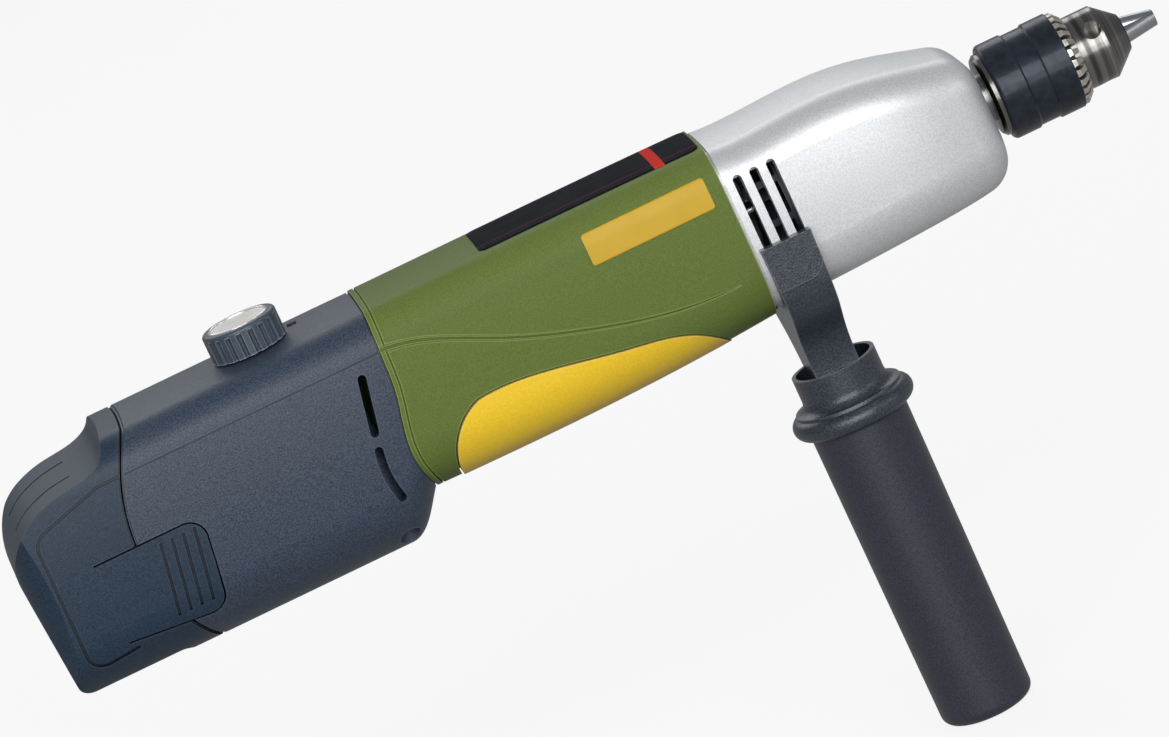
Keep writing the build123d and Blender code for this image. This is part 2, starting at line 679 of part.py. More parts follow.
def crease(width):
    """Side view of a band along the groove that sweeps down and fades towards the head."""
    rear, front = X_SEAM - 6, X_JOINT - 6
    fall = SPLIT_HEIGHT - 3.6
    path = [(0.0, 0.0), (0.16, -0.06), (0.36, -0.4), (0.58, -0.72), (0.8, -0.94)]
    middle = [(rear + (front - rear) * t, SPLIT_HEIGHT + 2.5 * fall * d) for t, d in path]
    upper = [(x, z + width * (0.5 - i / 12)) for i, (x, z) in enumerate(middle)]
    lower = [(x, z - width * (0.5 - i / 12)) for i, (x, z) in enumerate(middle)]
    tip = (front, SPLIT_HEIGHT - 2.5 * fall)
    return make_face([Spline(*upper, tip), Spline(*lower, tip), Line(upper[0], lower[0])])


def motor_housing():
    """The moulded tube round the motor, with its mount wall, rear ring and rear spigot."""
    outer = form(housing_stations())
    inner = form(housing_stations(), -WALL)
    front = block(X_SEAM - 20, X_JOINT + 20, -60, 60, -60, 60)
    shell = (outer - inner) - seam_front()
    rings = block(X_JOINT - MOUNT_WALL, X_JOINT, -60, 60, -60, 60)
    rings += block(X_MOTOR - CAN_LENGTH * 0.15 - 5, X_MOTOR - CAN_LENGTH * 0.15, -60, 60, -60, 60)
    rings += block(X_CAN_END + 4, X_CAN_END + 10, -60, 60, -60, 60)
    inside = form(housing_stations(), -WALL / 2)
    shell += (inside & rings & front) - tube(X_CAN_END, X_JOINT - MOUNT_WALL, CAN_RADIUS)
    hollow = form(housing_stations(), -2 * WALL + 0.4)
    lip = form(housing_stations(), -WALL - LOOSE) - hollow
    shell += (lip - seam_front(-SPIGOT)) & block(X_SEAM - 20, X_SEAM + 8, -60, 60, -60, 60)
    shell += (inside - hollow) & (block(X_SEAM + 4, X_SEAM + 8, -60, 60, -60, 60))
    shell -= tube(X_JOINT - MOUNT_WALL - 1, X_JOINT + 1, BUSH_RADIUS + 6)
    for y, z in head_screw_places():
        shell -= Pos(0, y, z) * tube(X_JOINT - 20, X_JOINT + 1, SCREW_RADIUS)
        shell -= Pos(0, y, z) * tube(X_CAN_END - 1, X_JOINT - MOUNT_WALL, SCREW_HEAD_RADIUS + 0.2)
    deep = form(housing_stations(), 2) - form(housing_stations(), -PAD_DEPTH)
    shell -= deep & crossways(pad_outline(PAD_GROOVE), -60, 60)
    for width, depth in ((2.2 * CREASE_WIDTH, 0.4 * CREASE_DEPTH), (CREASE_WIDTH, CREASE_DEPTH)):
        skin = form(housing_stations(), 2) - form(housing_stations(), -depth)
        shell -= skin & crossways(crease(width), -60, 60)
    skin = form(housing_stations(), 2) - form(housing_stations(), -RIM_GROOVE)
    return shell - (skin & (seam_front(RIM + RIM_GROOVE) - seam_front(RIM)))


def grip_pad():
    """The soft pad, let into the belly of the motor housing and standing a little proud."""
    skin = form(housing_stations(), PAD_PROUD) - form(housing_stations(), -PAD_DEPTH)
    return skin & crossways(pad_outline(-0.1), -60, 60)


# Motor
def motor_can():
    can = tube(X_CAN_END, X_MOTOR, CAN_RADIUS, CAN_RADIUS - CAN_WALL)
    can += tube(X_MOTOR - 2, X_MOTOR, CAN_RADIUS, BUSH_RADIUS)
    return can


def motor_bush_front():
    return tube(X_MOTOR - 4, X_MOTOR, BUSH_RADIUS, SHAFT_RADIUS + RUN)


def motor_bush_rear():
    return tube(X_CAN_END - CAP_THICK, X_CAN_END - CAP_THICK + 3, BUSH_RADIUS, SHAFT_RADIUS + RUN)


def motor_magnets():
    outer = CAN_RADIUS - CAN_WALL
    front = X_MOTOR - (CAN_LENGTH - MAGNET_LENGTH) / 2
    ring = tube(front - MAGNET_LENGTH, front, outer, outer - MAGNET_THICK)
    gap = block(X_CAN_END, X_MOTOR, -7, 7, -30, 30)
    return [piece for piece in (ring - gap).solids()]


def core_radius():
    return CAN_RADIUS - CAN_WALL - MAGNET_THICK - AIR_GAP


def core_slots(inner, outer, x0, x1):
    slot = block(x0, x1, inner, outer, -1.5, 1.5)
    return [around(slot, i * 360 / CORE_SLOTS) for i in range(CORE_SLOTS)]


def armature_core():
    middle = (X_MOTOR + X_CAN_END) / 2
    x0, x1 = middle - CORE_LENGTH / 2, middle + CORE_LENGTH / 2
    return tube(x0, x1, core_radius(), SHAFT_RADIUS) - core_slots(6, 30, x0 - 1, x1 + 1)


def armature_windings():
    """Wire in the core slots and the turns that bridge them at both ends."""
    middle = (X_MOTOR + X_CAN_END) / 2
    x0, x1 = middle - CORE_LENGTH / 2, middle + CORE_LENGTH / 2
    coil = tube(x0 - 6, x0, core_radius() - 1.5, SHAFT_RADIUS + 1.5)
    coil += tube(x1, x1 + 6, core_radius() - 1.5, SHAFT_RADIUS + 1.5)
    for bar in core_slots(6, core_radius() - 1.5, x0 - 1, x1 + 1):
        coil += bar
    return coil


def commutator():
    return tube(X_CAN_END - 1.5, X_CAN_END - 1.5 + COMMUTATOR_LENGTH, COMMUTATOR_RADIUS, SHAFT_RADIUS)


def brush_box(side, grow=0.0):
    half = BRUSH_WIDTH / 2 + grow
    y0, y1 = sorted((side * (COMMUTATOR_RADIUS + 0.1), side * (COMMUTATOR_RADIUS + 7)))
    return block(X_CAN_END - 1, X_CAN_END + 4, y0, y1, -half, half)


def carbon_brushes():
    return [brush_box(side) for side in SIDES]


def motor_end_cap():
    """The plastic end of the motor with the two brush guides."""
    cap = tube(X_CAN_END - CAP_THICK, X_CAN_END, CAN_RADIUS, BUSH_RADIUS)
    cap -= tube(X_CAN_END - CAP_THICK + 3, X_CAN_END + 1, CAN_RADIUS - 4)
    for side in SIDES:
        y0, y1 = sorted((side * (COMMUTATOR_RADIUS + 2), side * (COMMUTATOR_RADIUS + 6)))
        guide = block(X_CAN_END - CAP_THICK + 2, X_CAN_END + 3, y0, y1, -BRUSH_WIDTH, BRUSH_WIDTH)
        cap += guide - brush_box(side)
    return cap


def motor_shaft():
    return tube(X_CAN_END - CAP_THICK, X_GEAR - 0.8, SHAFT_RADIUS)


def cooling_fan():
    """A drum fan: hub, back disc and curved blades inside the slotted part of the head."""
    front = X_FAN_BORE - 1.4
    back = front - FAN_WIDTH
    fan = tube(back, front, SHAFT_RADIUS + 3.5, SHAFT_RADIUS)
    fan += tube(front - 1.4, front, FAN_RADIUS, SHAFT_RADIUS + 1)
    arc = ThreePointArc((6.5, 0), (12.5, 2.6), (FAN_RADIUS - 0.2, 8.2 * FAN_RADIUS / 18.4 - 1.6))
    far = ThreePointArc((6.5, 1.2), (12.2, 3.9), (FAN_RADIUS - 1.6, 8.2 * FAN_RADIUS / 18.4 - 0.4))
    sail = make_face([arc, far, Line(arc @ 0, far @ 0), Line(arc @ 1, far @ 1)])
    blade = gear_solid(sail, back, front - 1)
    for i in range(FAN_BLADES):
        fan += around(blade, i * 360 / FAN_BLADES)
    return fan & tube(back - 1, front + 1, FAN_RADIUS, SHAFT_RADIUS)


# Rear housing
def vents():
    """Two bowed air slots on each side, following the seam."""
    slots = Sketch()
    for line in (VENT_UPPER, VENT_LOWER):
        places = [(X_SEAM + ahead, height) for height, ahead in line]
        slots += trace(Spline(*places), VENT_WIDTH)
        for end in (places[0], places[-1]):
            slots += Pos(*end) * Circle(VENT_WIDTH / 2)
    return slots


def rear_shell(upper):
    """Upper or lower half of the rear housing shell."""
    outer = rear_form()
    inner = rear_form(-WALL)
    shell = (outer - inner) & seam_front(-SEAM_GAP / 3)
    shell -= seam_rear()
    groove = outer - rear_form(-SPLIT_GROOVE)
    half = SPLIT_GROOVE / 2
    groove &= block(X_REAR, X_SEAM + 5, -60, 60, SPLIT_HEIGHT - half, SPLIT_HEIGHT + half)
    shell -= groove
    edge = outer - rear_form(-SEAM_BEVEL)
    shell -= edge & (seam_rear(SEAM_BEVEL) + (seam_front(0) - seam_front(-SEAM_GAP / 3 - SEAM_BEVEL)))
    if upper:
        return shell & block(X_REAR, X_SEAM + 10, -60, 60, SPLIT_HEIGHT, 60)
    return shell & block(X_REAR, X_SEAM + 10, -60, 60, -60, SPLIT_HEIGHT)


def shell_screw_places():
    return [(X_SEAM - 12.6, side * 16.5) for side in SIDES]


def rear_shell_upper():
    """Upper shell with screw bosses, board posts and the hole for the dial shaft."""
    shell = rear_shell(True)
    inside = rear_form(-WALL / 2)
    for x, y in shell_screw_places():
        shell += upright(SCREW_BOSS, SPLIT_HEIGHT, REAR_TOP, x, y) & inside
        shell -= upright(SCREW_RADIUS, SPLIT_HEIGHT - 1, SPLIT_HEIGHT + 5.5, x, y)
    for x in (X_DIAL - BOARD_LENGTH / 2 + 3, X_DIAL + BOARD_LENGTH / 2 - 3):
        for side in SIDES:
            shell += upright(1.6, board_top(), REAR_TOP, x, side * (BOARD_HALF - 2.5)) & inside
    return shell - upright(DIAL_SHAFT_RADIUS + 0.6, 0, 40, X_DIAL)


def latch_outline(grow=0.0):
    """Side view of the latch tongue, its free front end slanted."""
    root = X_REAR_SEAM - LATCH_ROOT
    tip = X_REAR_SEAM + LATCH_TIP + grow
    top, bottom = LATCH_TOP + grow, LATCH_BOTTOM - grow
    corners = ((root, top), (tip, top), (tip - 3.6, bottom), (root, bottom + 3))
    outline = make_face(Polyline(*corners, close=True))
    return fillet(outline.vertices().sort_by(Axis.X)[-2:], LATCH_ROUND + grow)


def latch_pivot(side, radius):
    """The upright bead, at the root of a latch tongue, that the tongue turns on."""
    top = LATCH_TOP - 1
    x, y = X_REAR_SEAM - LATCH_ROOT, side * (REAR_HALF - PIVOT_DEPTH)
    return upright(radius, top - PIVOT_LENGTH, top, x, y)


def rear_shell_lower():
    """Lower shell with air slots, screw bosses, battery guide and the two latch notches."""
    shell = rear_shell(False)
    inside = rear_form(-WALL / 2)
    for side in SIDES:
        inner, outer = sorted((side * (REAR_HALF - WALL - 1.6), side * 40))
        shell -= crossways(vents(), inner, outer)
        inner, outer = sorted((side * (REAR_HALF - 8), side * 40))
        shell -= crossways(latch_outline(LATCH_GAP), inner, outer)
    x0 = X_REAR_SEAM + LATCH_TIP + 4
    guide = block(x0, x0 + 3, -60, 60, -60, SPLIT_HEIGHT) & inside
    shell += guide - tower_box(TOWER_WALL + SLIDE, x0 - 1, x0 + 4)
    foot = block(X_TOWER + 1.2, X_TOWER + 4.4, -11, 11, -60, CELL_HEIGHT - 6) & inside
    shell += foot
    for x, y in shell_screw_places():
        shell += upright(SCREW_BOSS, -60, SPLIT_HEIGHT, x, y) & inside
        shell -= upright(SCREW_RADIUS, -60, SPLIT_HEIGHT + 1, x, y)
        shell -= upright(SCREW_HEAD_RADIUS + 0.2, -60, screw_seat(), x, y)
    return shell


def screw_seat():
    return REAR_BOTTOM + 10


def shell_screws():
    screws = []
    seat = screw_seat()
    for x, y in shell_screw_places():
        screw = upright(SCREW_RADIUS, seat, SPLIT_HEIGHT + 5, x, y)
        screw += upright(SCREW_HEAD_RADIUS, seat - SCREW_HEAD, seat, x, y)
        cross = block(x - 1.6, x + 1.6, y - 0.35, y + 0.35, seat - SCREW_HEAD - 1, seat - 1.2)
        cross += block(x - 0.35, x + 0.35, y - 1.6, y + 1.6, seat - SCREW_HEAD - 1, seat - 1.2)
        screws.append(screw - cross)
    return screws


# Speed dial and board
def board_top():
    return SPLIT_HEIGHT + 2.4


def speed_dial():
    """The knob: ribbed round its edge, hollow top for the cap disc."""
    z0 = REAR_TOP + SLIDE
    z1 = z0 + DIAL_HEIGHT
    knob = upright(DIAL_RADIUS, z0, z1, X_DIAL)
    knob = fillet(knob.edges().filter_by(GeomType.CIRCLE).sort_by(Axis.Z)[-1:], 0.9)
    knob -= upright(CAP_RADIUS, z1 - CAP_DISC, z1 + 1, X_DIAL)
    knob -= upright(DIAL_SHAFT_RADIUS, z0 - 1, z1 - CAP_DISC - 1.2, X_DIAL)
    for i in range(DIAL_RIBS):
        a = 2 * math.pi * (i + 0.5) / DIAL_RIBS
        knob -= upright(0.75, z0 - 1, z1 - 1.3, X_DIAL + (DIAL_RADIUS + 0.2) * math.cos(a),
                        (DIAL_RADIUS + 0.2) * math.sin(a))
    return knob


def dial_cap():
    z1 = REAR_TOP + SLIDE + DIAL_HEIGHT
    return upright(CAP_RADIUS, z1 - CAP_DISC, z1 - 0.1, X_DIAL)


def dial_shaft():
    top = REAR_TOP + SLIDE + DIAL_HEIGHT - CAP_DISC - 1.2
    return upright(DIAL_SHAFT_RADIUS, board_top() + 1, top, X_DIAL)


def potentiometer():
    half = POT_SIZE / 2
    pot = block(X_DIAL - half, X_DIAL + half, -half, half, board_top(), REAR_TOP - WALL - 0.5)
    pot += upright(DIAL_SHAFT_RADIUS + 0.5, REAR_TOP - WALL - 0.6, REAR_TOP, X_DIAL)
    return pot - upright(DIAL_SHAFT_RADIUS + RUN, board_top() + 0.9, 40, X_DIAL)


def control_board():
    """The board with its larger components underneath."""
    z1 = board_top()
    z0 = z1 - BOARD_THICK
    half = BOARD_LENGTH / 2
    board = block(X_DIAL - half, X_DIAL + half, -BOARD_HALF, BOARD_HALF, z0, z1)
    board += block(X_DIAL + 6, X_DIAL + 14, -9, -3, z0 - 3, z0)
    board += upright(3.2, z0 - 7, z0, X_DIAL + 10, 5)
    board += block(X_DIAL + 3, X_DIAL + 5.5, -10, 0, z0 - 6, z0)
    return board


def tower_half():
    return CELL_PITCH / 2 + CELL_RADIUS + 0.2


def tower_box(grow, x0, x1):
    """A square bar with round corners that follows the four cells."""
    half = tower_half() + grow
    square = RectangleRounded(2 * half, 2 * half, CELL_RADIUS + grow)
    return Pos(0, 0, CELL_HEIGHT) * gear_solid(square, x0, x1)


def terminal_places():
    return (-7.0, 0.0, 7.0)


def terminal_block():
    body = block(X_TOWER + 1.2, X_TOWER + 7, -12, 12, CELL_HEIGHT - 6, CELL_HEIGHT + 6)
    for blade in terminal_blades():
        body -= blade
    return body


def terminal_blades():
    return [block(X_TOWER - BLADE_REACH, X_TOWER + 6, y - BLADE_HALF, y + BLADE_HALF,
                  CELL_HEIGHT - BLADE_HEIGHT, CELL_HEIGHT + BLADE_HEIGHT) for y in terminal_places()]


def battery_contacts():
    """Sprung clips on the cell ends, one round each blade."""
    x0 = X_CELLS + CELL_LENGTH
    x1 = X_TOWER - TOWER_WALL - CLIP_PLAY
    inner = BLADE_HALF + CLIP_PLAY
    outer = inner + CLIP_WALL
    low, high = CELL_HEIGHT - BLADE_HEIGHT + CLIP_WALL, CELL_HEIGHT + BLADE_HEIGHT - CLIP_WALL
    clips = []
    for y in terminal_places():
        clip = block(x0, x1, y - outer, y + outer, low, high)
        clips.append(clip - block(x0 + CLIP_WALL, x1 + 1, y - inner, y + inner, -60, 60))
    return clips


# Battery
def battery_outline(shrink=0.0):
    """Side view of the battery: flush front collar, lowered sloping top, round rear."""
    s = shrink
    x = X_REAR_SEAM
    top = REAR_TOP + 0.1 - s
    step = top - BATTERY_STEP
    low = BATTERY_BOTTOM + s
    floor = REAR_BOTTOM - 0.1 + s
    rear = X_REAR + s
    return make_face([
        Line((x + 30, top), (x + 4.7, top)),
        Spline((x + 4.7, top), (x + 2.1, top - BATTERY_STEP * 0.5), (x - 1.2, step), (x - 12, step - 2.0),
               (x - 20.5, step - 4.5), tangents=((-1, 0), (-1, -0.45))),
        ThreePointArc((x - 20.5, step - 4.5), (rear + 3.6, step - 9.9), (rear, -3)),
        Line((rear, -3), (rear + 2.1, low + 4)),
        ThreePointArc((rear + 2.1, low + 4), (rear + 3.4, low + 1.1), (rear + 6.2, low)),
        Line((rear + 6.2, low), (x - 1.4, low)),
        Spline((x - 1.4, low), (x + 1.8, low - 1.2), (x + 5.4, floor), tangents=((1, 0), (1, 0))),
        Line((x + 5.4, floor), (x + 30, floor)),
        Line((x + 30, floor), (x + 30, top)),
    ])


@lru_cache(maxsize=None)
def battery_form(shrink=0.0):
    """The battery's outside, or the same shape shrunk evenly, with round rear corners in plan."""
    half = REAR_HALF + 2 - shrink
    rear = X_REAR + shrink
    bend = BATTERY_ROUND
    plan = make_face([
        Polyline((rear + bend, -half), (X_SEAM, -half), (X_SEAM, half), (rear + bend, half)),
        ThreePointArc((rear + bend, half), (rear + 0.22 * bend, half - 0.36 * bend), (rear, half - bend)),
        Line((rear, half - bend), (rear, bend - half)),
        ThreePointArc((rear, bend - half), (rear + 0.22 * bend, 0.36 * bend - half), (rear + bend, -half)),
    ])
    solid = rear_form(-shrink) & crossways(battery_outline(shrink), -60, 60)
    return solid & (Pos(0, 0, -60) * extrude(plan, 120))


def battery_border():
    """Side view of the groove round the rear panel of the battery."""
    x = X_REAR_SEAM
    z = SPLIT_HEIGHT
    rear = X_REAR + 7.4
    outer = FilletPolyline((x + 8, z + 0.3), (x - 3, z), (rear + 0.5, z - 5.5), (rear, -29.6),
                           (x - LATCH_ROOT + 2, -28.4), radius=4.5)
    return trace(outer, 0.95)


def battery_case():
    """The outer case: cavity for the cells, two latch windows, top grooves."""
    case = battery_form() & seam_rear(-SEAM_GAP)
    case -= battery_form(BATTERY_WALL)
    skin = battery_form() - battery_form(0.5)
    case -= skin & crossways(battery_border(), -60, 60)
    ridge = battery_form() - battery_form(0.7)
    for y in (-9.5, 9.5):
        case -= ridge & block(X_REAR + 5, X_REAR + 23, y - 0.65, y + 0.65, 0, 40)
    case -= (battery_form() - battery_form(SEAM_BEVEL)) - seam_rear(-SEAM_GAP - SEAM_BEVEL)
    for side in SIDES:
        inner, outer = sorted((side * (REAR_HALF - 8), side * 40))
        case -= crossways(latch_outline(LATCH_GAP), inner, outer)
        case -= latch_pivot(side, PIVOT_RADIUS + RUN)
    return case


def battery_tower():
    """Front wall of the battery and the tower that holds the cells."""
    wall = battery_form(BATTERY_WALL) & (seam_rear(-SEAM_GAP - 0.4) - seam_rear(-SEAM_GAP - 3.4))
    tower = wall + tower_box(TOWER_WALL, X_REAR_SEAM - 2, X_TOWER)
    tower -= tower_box(0, X_REAR - 5, X_TOWER - TOWER_WALL)
    for y in terminal_places():
        slot = BLADE_HALF + SLIDE
        tower -= block(X_TOWER - 8, X_TOWER + 5, y - slot, y + slot, CELL_HEIGHT - BLADE_HEIGHT - SLIDE,
                       CELL_HEIGHT + BLADE_HEIGHT + SLIDE)
    for side in SIDES:
        inner, outer = sorted((side * (REAR_HALF - 8), side * 40))
        tower -= crossways(latch_outline(LATCH_GAP), inner, outer)
        tower -= latch_pivot(side, PIVOT_RADIUS + RUN)
    return tower


def battery_cells():
    cell = tube(X_CELLS, X_CELLS + CELL_LENGTH, CELL_RADIUS)
    step = CELL_PITCH / 2
    return [Pos(0, y, CELL_HEIGHT + z) * cell for y in (-step, step) for z in (-step, step)]


def latch(side):
    """Latch tongue with a round root to turn on and slanted finger ribs at its free end."""
    skin = rear_form() - rear_form(-LATCH_THICK)
    inner, outer = sorted((side * (REAR_HALF - 8), side * 40))
    tongue = skin & crossways(latch_outline(), inner, outer)
    root = X_REAR_SEAM - LATCH_ROOT
    tongue -= block(root - 1, root + LATCH_PLAY, inner, outer, -60, 60)
    tongue += latch_pivot(side, PIVOT_RADIUS)
    ribs = rear_form() - rear_form(-0.6)
    for i in range(4):
        x = X_REAR_SEAM + 5.2 + i * 3.1
        rib = make_face(Polyline((x, LATCH_TOP - 1.6), (x + 0.9, LATCH_TOP - 1.6),
                                 (x - 2.4, LATCH_BOTTOM + 3.6), (x - 3.3, LATCH_BOTTOM + 3.6), close=True))
        tongue -= ribs & crossways(rib, inner, outer)
    return tongue


# Side handle
def turned_down(edges):
    """A solid turned about the handle axis from a face drawn in radius and Z."""
    return Pos(X_HANDLE, 0, 0) * revolve(Plane.XZ * make_face(edges), axis=Axis.Z)


def handle_yoke():
    """Two cheeks that hug the head, joined in a post with flats that enters the grip."""
    cheek = HEAD_HALF + CHEEK_THICK + 0.1
    arms = make_face([
        Line((-cheek, YOKE_TOP), (-cheek, PAD_BOTTOM)),
        Spline((-cheek, PAD_BOTTOM), (-cheek + 4.6, PAD_BOTTOM - 10.5), (-POST_RADIUS, POST_TOP),
               tangents=((0, -1), (0, -1))),
        Line((-POST_RADIUS, POST_TOP), (POST_RADIUS, POST_TOP)),
        Spline((POST_RADIUS, POST_TOP), (cheek - 4.6, PAD_BOTTOM - 10.5), (cheek, PAD_BOTTOM),
               tangents=((0, 1), (0, 1))),
        Line((cheek, PAD_BOTTOM), (cheek, YOKE_TOP)),
        Line((cheek, YOKE_TOP), (-cheek, YOKE_TOP)),
    ])
    middle = X_HANDLE - YOKE_BACK
    yoke = gear_solid(arms, middle - YOKE_WIDTH / 2, middle + YOKE_WIDTH / 2)
    pad = Pos(middle, (YOKE_TOP + PAD_BOTTOM) / 2) * Rectangle(YOKE_WIDTH, YOKE_TOP - PAD_BOTTOM)
    pad = fillet(pad.vertices().sort_by(Axis.Y)[:2].sort_by(Axis.X)[-1:], 5.0)
    for side in SIDES:
        inner, outer = sorted((side * (cheek - 1), side * (cheek + CHEEK_PAD)))
        yoke += crossways(pad, inner, outer)
    waist = make_face(Polyline((-YOKE_WIDTH / 2, YOKE_TOP), (-YOKE_NECK / 2, POST_TOP),
                               (YOKE_NECK / 2, POST_TOP), (YOKE_WIDTH / 2, YOKE_TOP), close=True))
    yoke &= crossways(Pos(middle, 0) * waist, -40, 40)
    post = upright(POST_RADIUS, POST_END, POST_TOP, X_HANDLE)
    yoke += post & block(middle - POST_HALF, middle + POST_HALF, -40, 40, -100, 0)
    yoke -= form(head_stations(), 0.1)
    yoke -= upright(BOSS_RADIUS + LOOSE, BOSS_END - 0.5, 0, X_HANDLE)
    return yoke - upright(STUD_RADIUS + LOOSE, POST_END - 5, 0, X_HANDLE)


def handle_stud():
    return upright(STUD_RADIUS, STUD_END, STUD_TOP, X_HANDLE)


def grip_insert():
    bar = upright(INSERT_RADIUS - RUN, STUD_END, STUD_END + INSERT_LENGTH, X_HANDLE)
    return bar - upright(STUD_RADIUS + RUN, STUD_END - 1, STUD_END + INSERT_LENGTH + 1, X_HANDLE)


def handle_collar():
    """Collar, flange and core tube of the grip, in one moulding."""
    bore = POST_RADIUS + LOOSE
    lip = (FLANGE_TOP + FLANGE_END) / 2 - 0.4
    solid = turned_down([
        Line((0, COLLAR_TOP), (COLLAR_RADIUS, COLLAR_TOP)),
        Line((COLLAR_RADIUS, COLLAR_TOP), (COLLAR_RADIUS, FLANGE_TOP + 3)),
        ThreePointArc((COLLAR_RADIUS, FLANGE_TOP + 3), (COLLAR_RADIUS + 0.9, FLANGE_TOP + 0.9),
                      (COLLAR_RADIUS + 3, FLANGE_TOP)),
        Line((COLLAR_RADIUS + 3, FLANGE_TOP), (FLANGE_RADIUS - 2, FLANGE_TOP - 0.8)),
        ThreePointArc((FLANGE_RADIUS - 2, FLANGE_TOP - 0.8), (FLANGE_RADIUS, lip),
                      (FLANGE_RADIUS - 2, FLANGE_END)),
        Line((FLANGE_RADIUS - 2, FLANGE_END), (CORE_RADIUS, FLANGE_END)),
        Line((CORE_RADIUS, FLANGE_END), (CORE_RADIUS, STUD_END - 8)),
        Line((CORE_RADIUS, STUD_END - 8), (0, STUD_END - 8)),
        Line((0, STUD_END - 8), (0, COLLAR_TOP)),
    ])
    solid -= upright(bore, POST_END - 1, 0, X_HANDLE)
    return solid - upright(INSERT_RADIUS, STUD_END, 0, X_HANDLE)


def handle_grip():
    """The grip sleeve, slightly tapered, closed and rounded at its lower end."""
    r = GRIP_ROUND
    solid = turned_down([
        Line((0, FLANGE_END), (GRIP_TOP_RADIUS, FLANGE_END)),
        Line((GRIP_TOP_RADIUS, FLANGE_END), (GRIP_END_RADIUS, GRIP_END + r)),
        ThreePointArc((GRIP_END_RADIUS, GRIP_END + r), (GRIP_END_RADIUS - 0.3 * r, GRIP_END + 0.3 * r),
                      (GRIP_END_RADIUS - r, GRIP_END)),
        Line((GRIP_END_RADIUS - r, GRIP_END), (0, GRIP_END)),
        Line((0, GRIP_END), (0, FLANGE_END)),
    ])
    return solid - upright(CORE_RADIUS, STUD_END - 8, 0, X_HANDLE)


PARTS = {
    "chuck_body": chuck_body,
    "chuck_sleeve": chuck_sleeve,
    "chuck_gear_ring": chuck_gear_ring,
    "chuck_nut": chuck_nut,
    "chuck_jaw_1": lambda: chuck_jaw(JAW_ANGLES[0]),
    "chuck_jaw_2": lambda: chuck_jaw(JAW_ANGLES[1]),
    "chuck_jaw_3": lambda: chuck_jaw(JAW_ANGLES[2]),
    "spindle": spindle,
    "front_bearing_outer": lambda: bearing_outer(X_BEARING),
    "front_bearing_inner": lambda: bearing_inner(X_BEARING),
    "front_bearing_balls": lambda: bearing_balls(X_BEARING),
    "rear_bearing_outer": lambda: bearing_outer(X_BEARING_REAR),
    "rear_bearing_inner": lambda: bearing_inner(X_BEARING_REAR),
    "rear_bearing_balls": lambda: bearing_balls(X_BEARING_REAR),
    "bearing_spacer": bearing_spacer,
    "nose_seal": nose_seal,
    "planet_carrier": planet_carrier,
    "planet_pins": planet_pins,
    "planet_gear_1": lambda: planet_gear(SPIN[0]),
    "planet_gear_2": lambda: planet_gear(SPIN[1]),
    "planet_gear_3": lambda: planet_gear(SPIN[2]),
    "ring_gear": ring_gear,
    "sun_gear": sun_gear,
    "gear_plate": gear_plate,
    "gear_head": gear_head,
    "head_screws": head_screws,
    "motor_housing": motor_housing,
    "grip_pad": grip_pad,
    "motor_can": motor_can,
    "motor_bush_front": motor_bush_front,
    "motor_bush_rear": motor_bush_rear,
    "motor_magnets": motor_magnets,
    "motor_end_cap": motor_end_cap,
    "carbon_brushes": carbon_brushes,
    "motor_shaft": motor_shaft,
    "armature_core": armature_core,
    "armature_windings": armature_windings,
    "commutator": commutator,
    "cooling_fan": cooling_fan,
    "rear_shell_upper": rear_shell_upper,
    "rear_shell_lower": rear_shell_lower,
    "shell_screws": shell_screws,
    "speed_dial": speed_dial,
    "dial_cap": dial_cap,
    "dial_shaft": dial_shaft,
    "potentiometer": potentiometer,
    "control_board": control_board,
    "terminal_block": terminal_block,
    "terminal_blades": terminal_blades,
    "battery_case": battery_case,
    "battery_tower": battery_tower,
    "battery_cells": battery_cells,
    "battery_contacts": battery_contacts,
    "latch_right": lambda: latch(-1),
    "latch_left": lambda: latch(1),
    "handle_yoke": handle_yoke,
    "handle_stud": handle_stud,
    "grip_insert": grip_insert,
    "handle_collar": handle_collar,
    "handle_grip": handle_grip,
}

os.makedirs("parts", exist_ok=True)
for name, build in PARTS.items():
    shape = build()
    if isinstance(shape, list):
        shape = Compound(children=shape)
    export_step(shape, "parts/" + name + ".step")
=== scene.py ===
"""Finishes, bare plates, small marks, studio and camera for the cordless straight grinder."""
import json
import math
from types import SimpleNamespace
import bmesh
import bpy
import numpy as np
from mathutils import Matrix, Vector


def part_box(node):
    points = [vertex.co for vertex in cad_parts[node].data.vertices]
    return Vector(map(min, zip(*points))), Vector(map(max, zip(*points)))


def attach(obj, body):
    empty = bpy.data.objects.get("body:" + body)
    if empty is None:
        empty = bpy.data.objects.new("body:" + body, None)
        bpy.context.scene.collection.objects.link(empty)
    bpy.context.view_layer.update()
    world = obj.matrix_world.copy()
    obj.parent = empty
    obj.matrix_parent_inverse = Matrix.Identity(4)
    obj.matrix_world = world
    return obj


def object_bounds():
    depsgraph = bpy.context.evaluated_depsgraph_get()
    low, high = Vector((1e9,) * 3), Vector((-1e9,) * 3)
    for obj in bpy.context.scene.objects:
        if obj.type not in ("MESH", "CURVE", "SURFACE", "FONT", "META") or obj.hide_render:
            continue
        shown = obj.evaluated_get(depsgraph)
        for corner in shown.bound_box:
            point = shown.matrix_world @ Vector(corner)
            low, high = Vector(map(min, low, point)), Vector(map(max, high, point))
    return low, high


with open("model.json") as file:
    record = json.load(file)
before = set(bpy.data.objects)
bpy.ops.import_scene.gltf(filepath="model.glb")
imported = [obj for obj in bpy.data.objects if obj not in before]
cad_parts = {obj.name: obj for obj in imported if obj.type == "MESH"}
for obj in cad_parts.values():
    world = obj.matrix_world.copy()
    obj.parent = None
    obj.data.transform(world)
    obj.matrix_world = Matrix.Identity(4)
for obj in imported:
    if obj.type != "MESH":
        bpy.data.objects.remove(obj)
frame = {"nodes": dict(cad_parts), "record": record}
cad_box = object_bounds()
nodes = frame["nodes"]

MM = 0.001

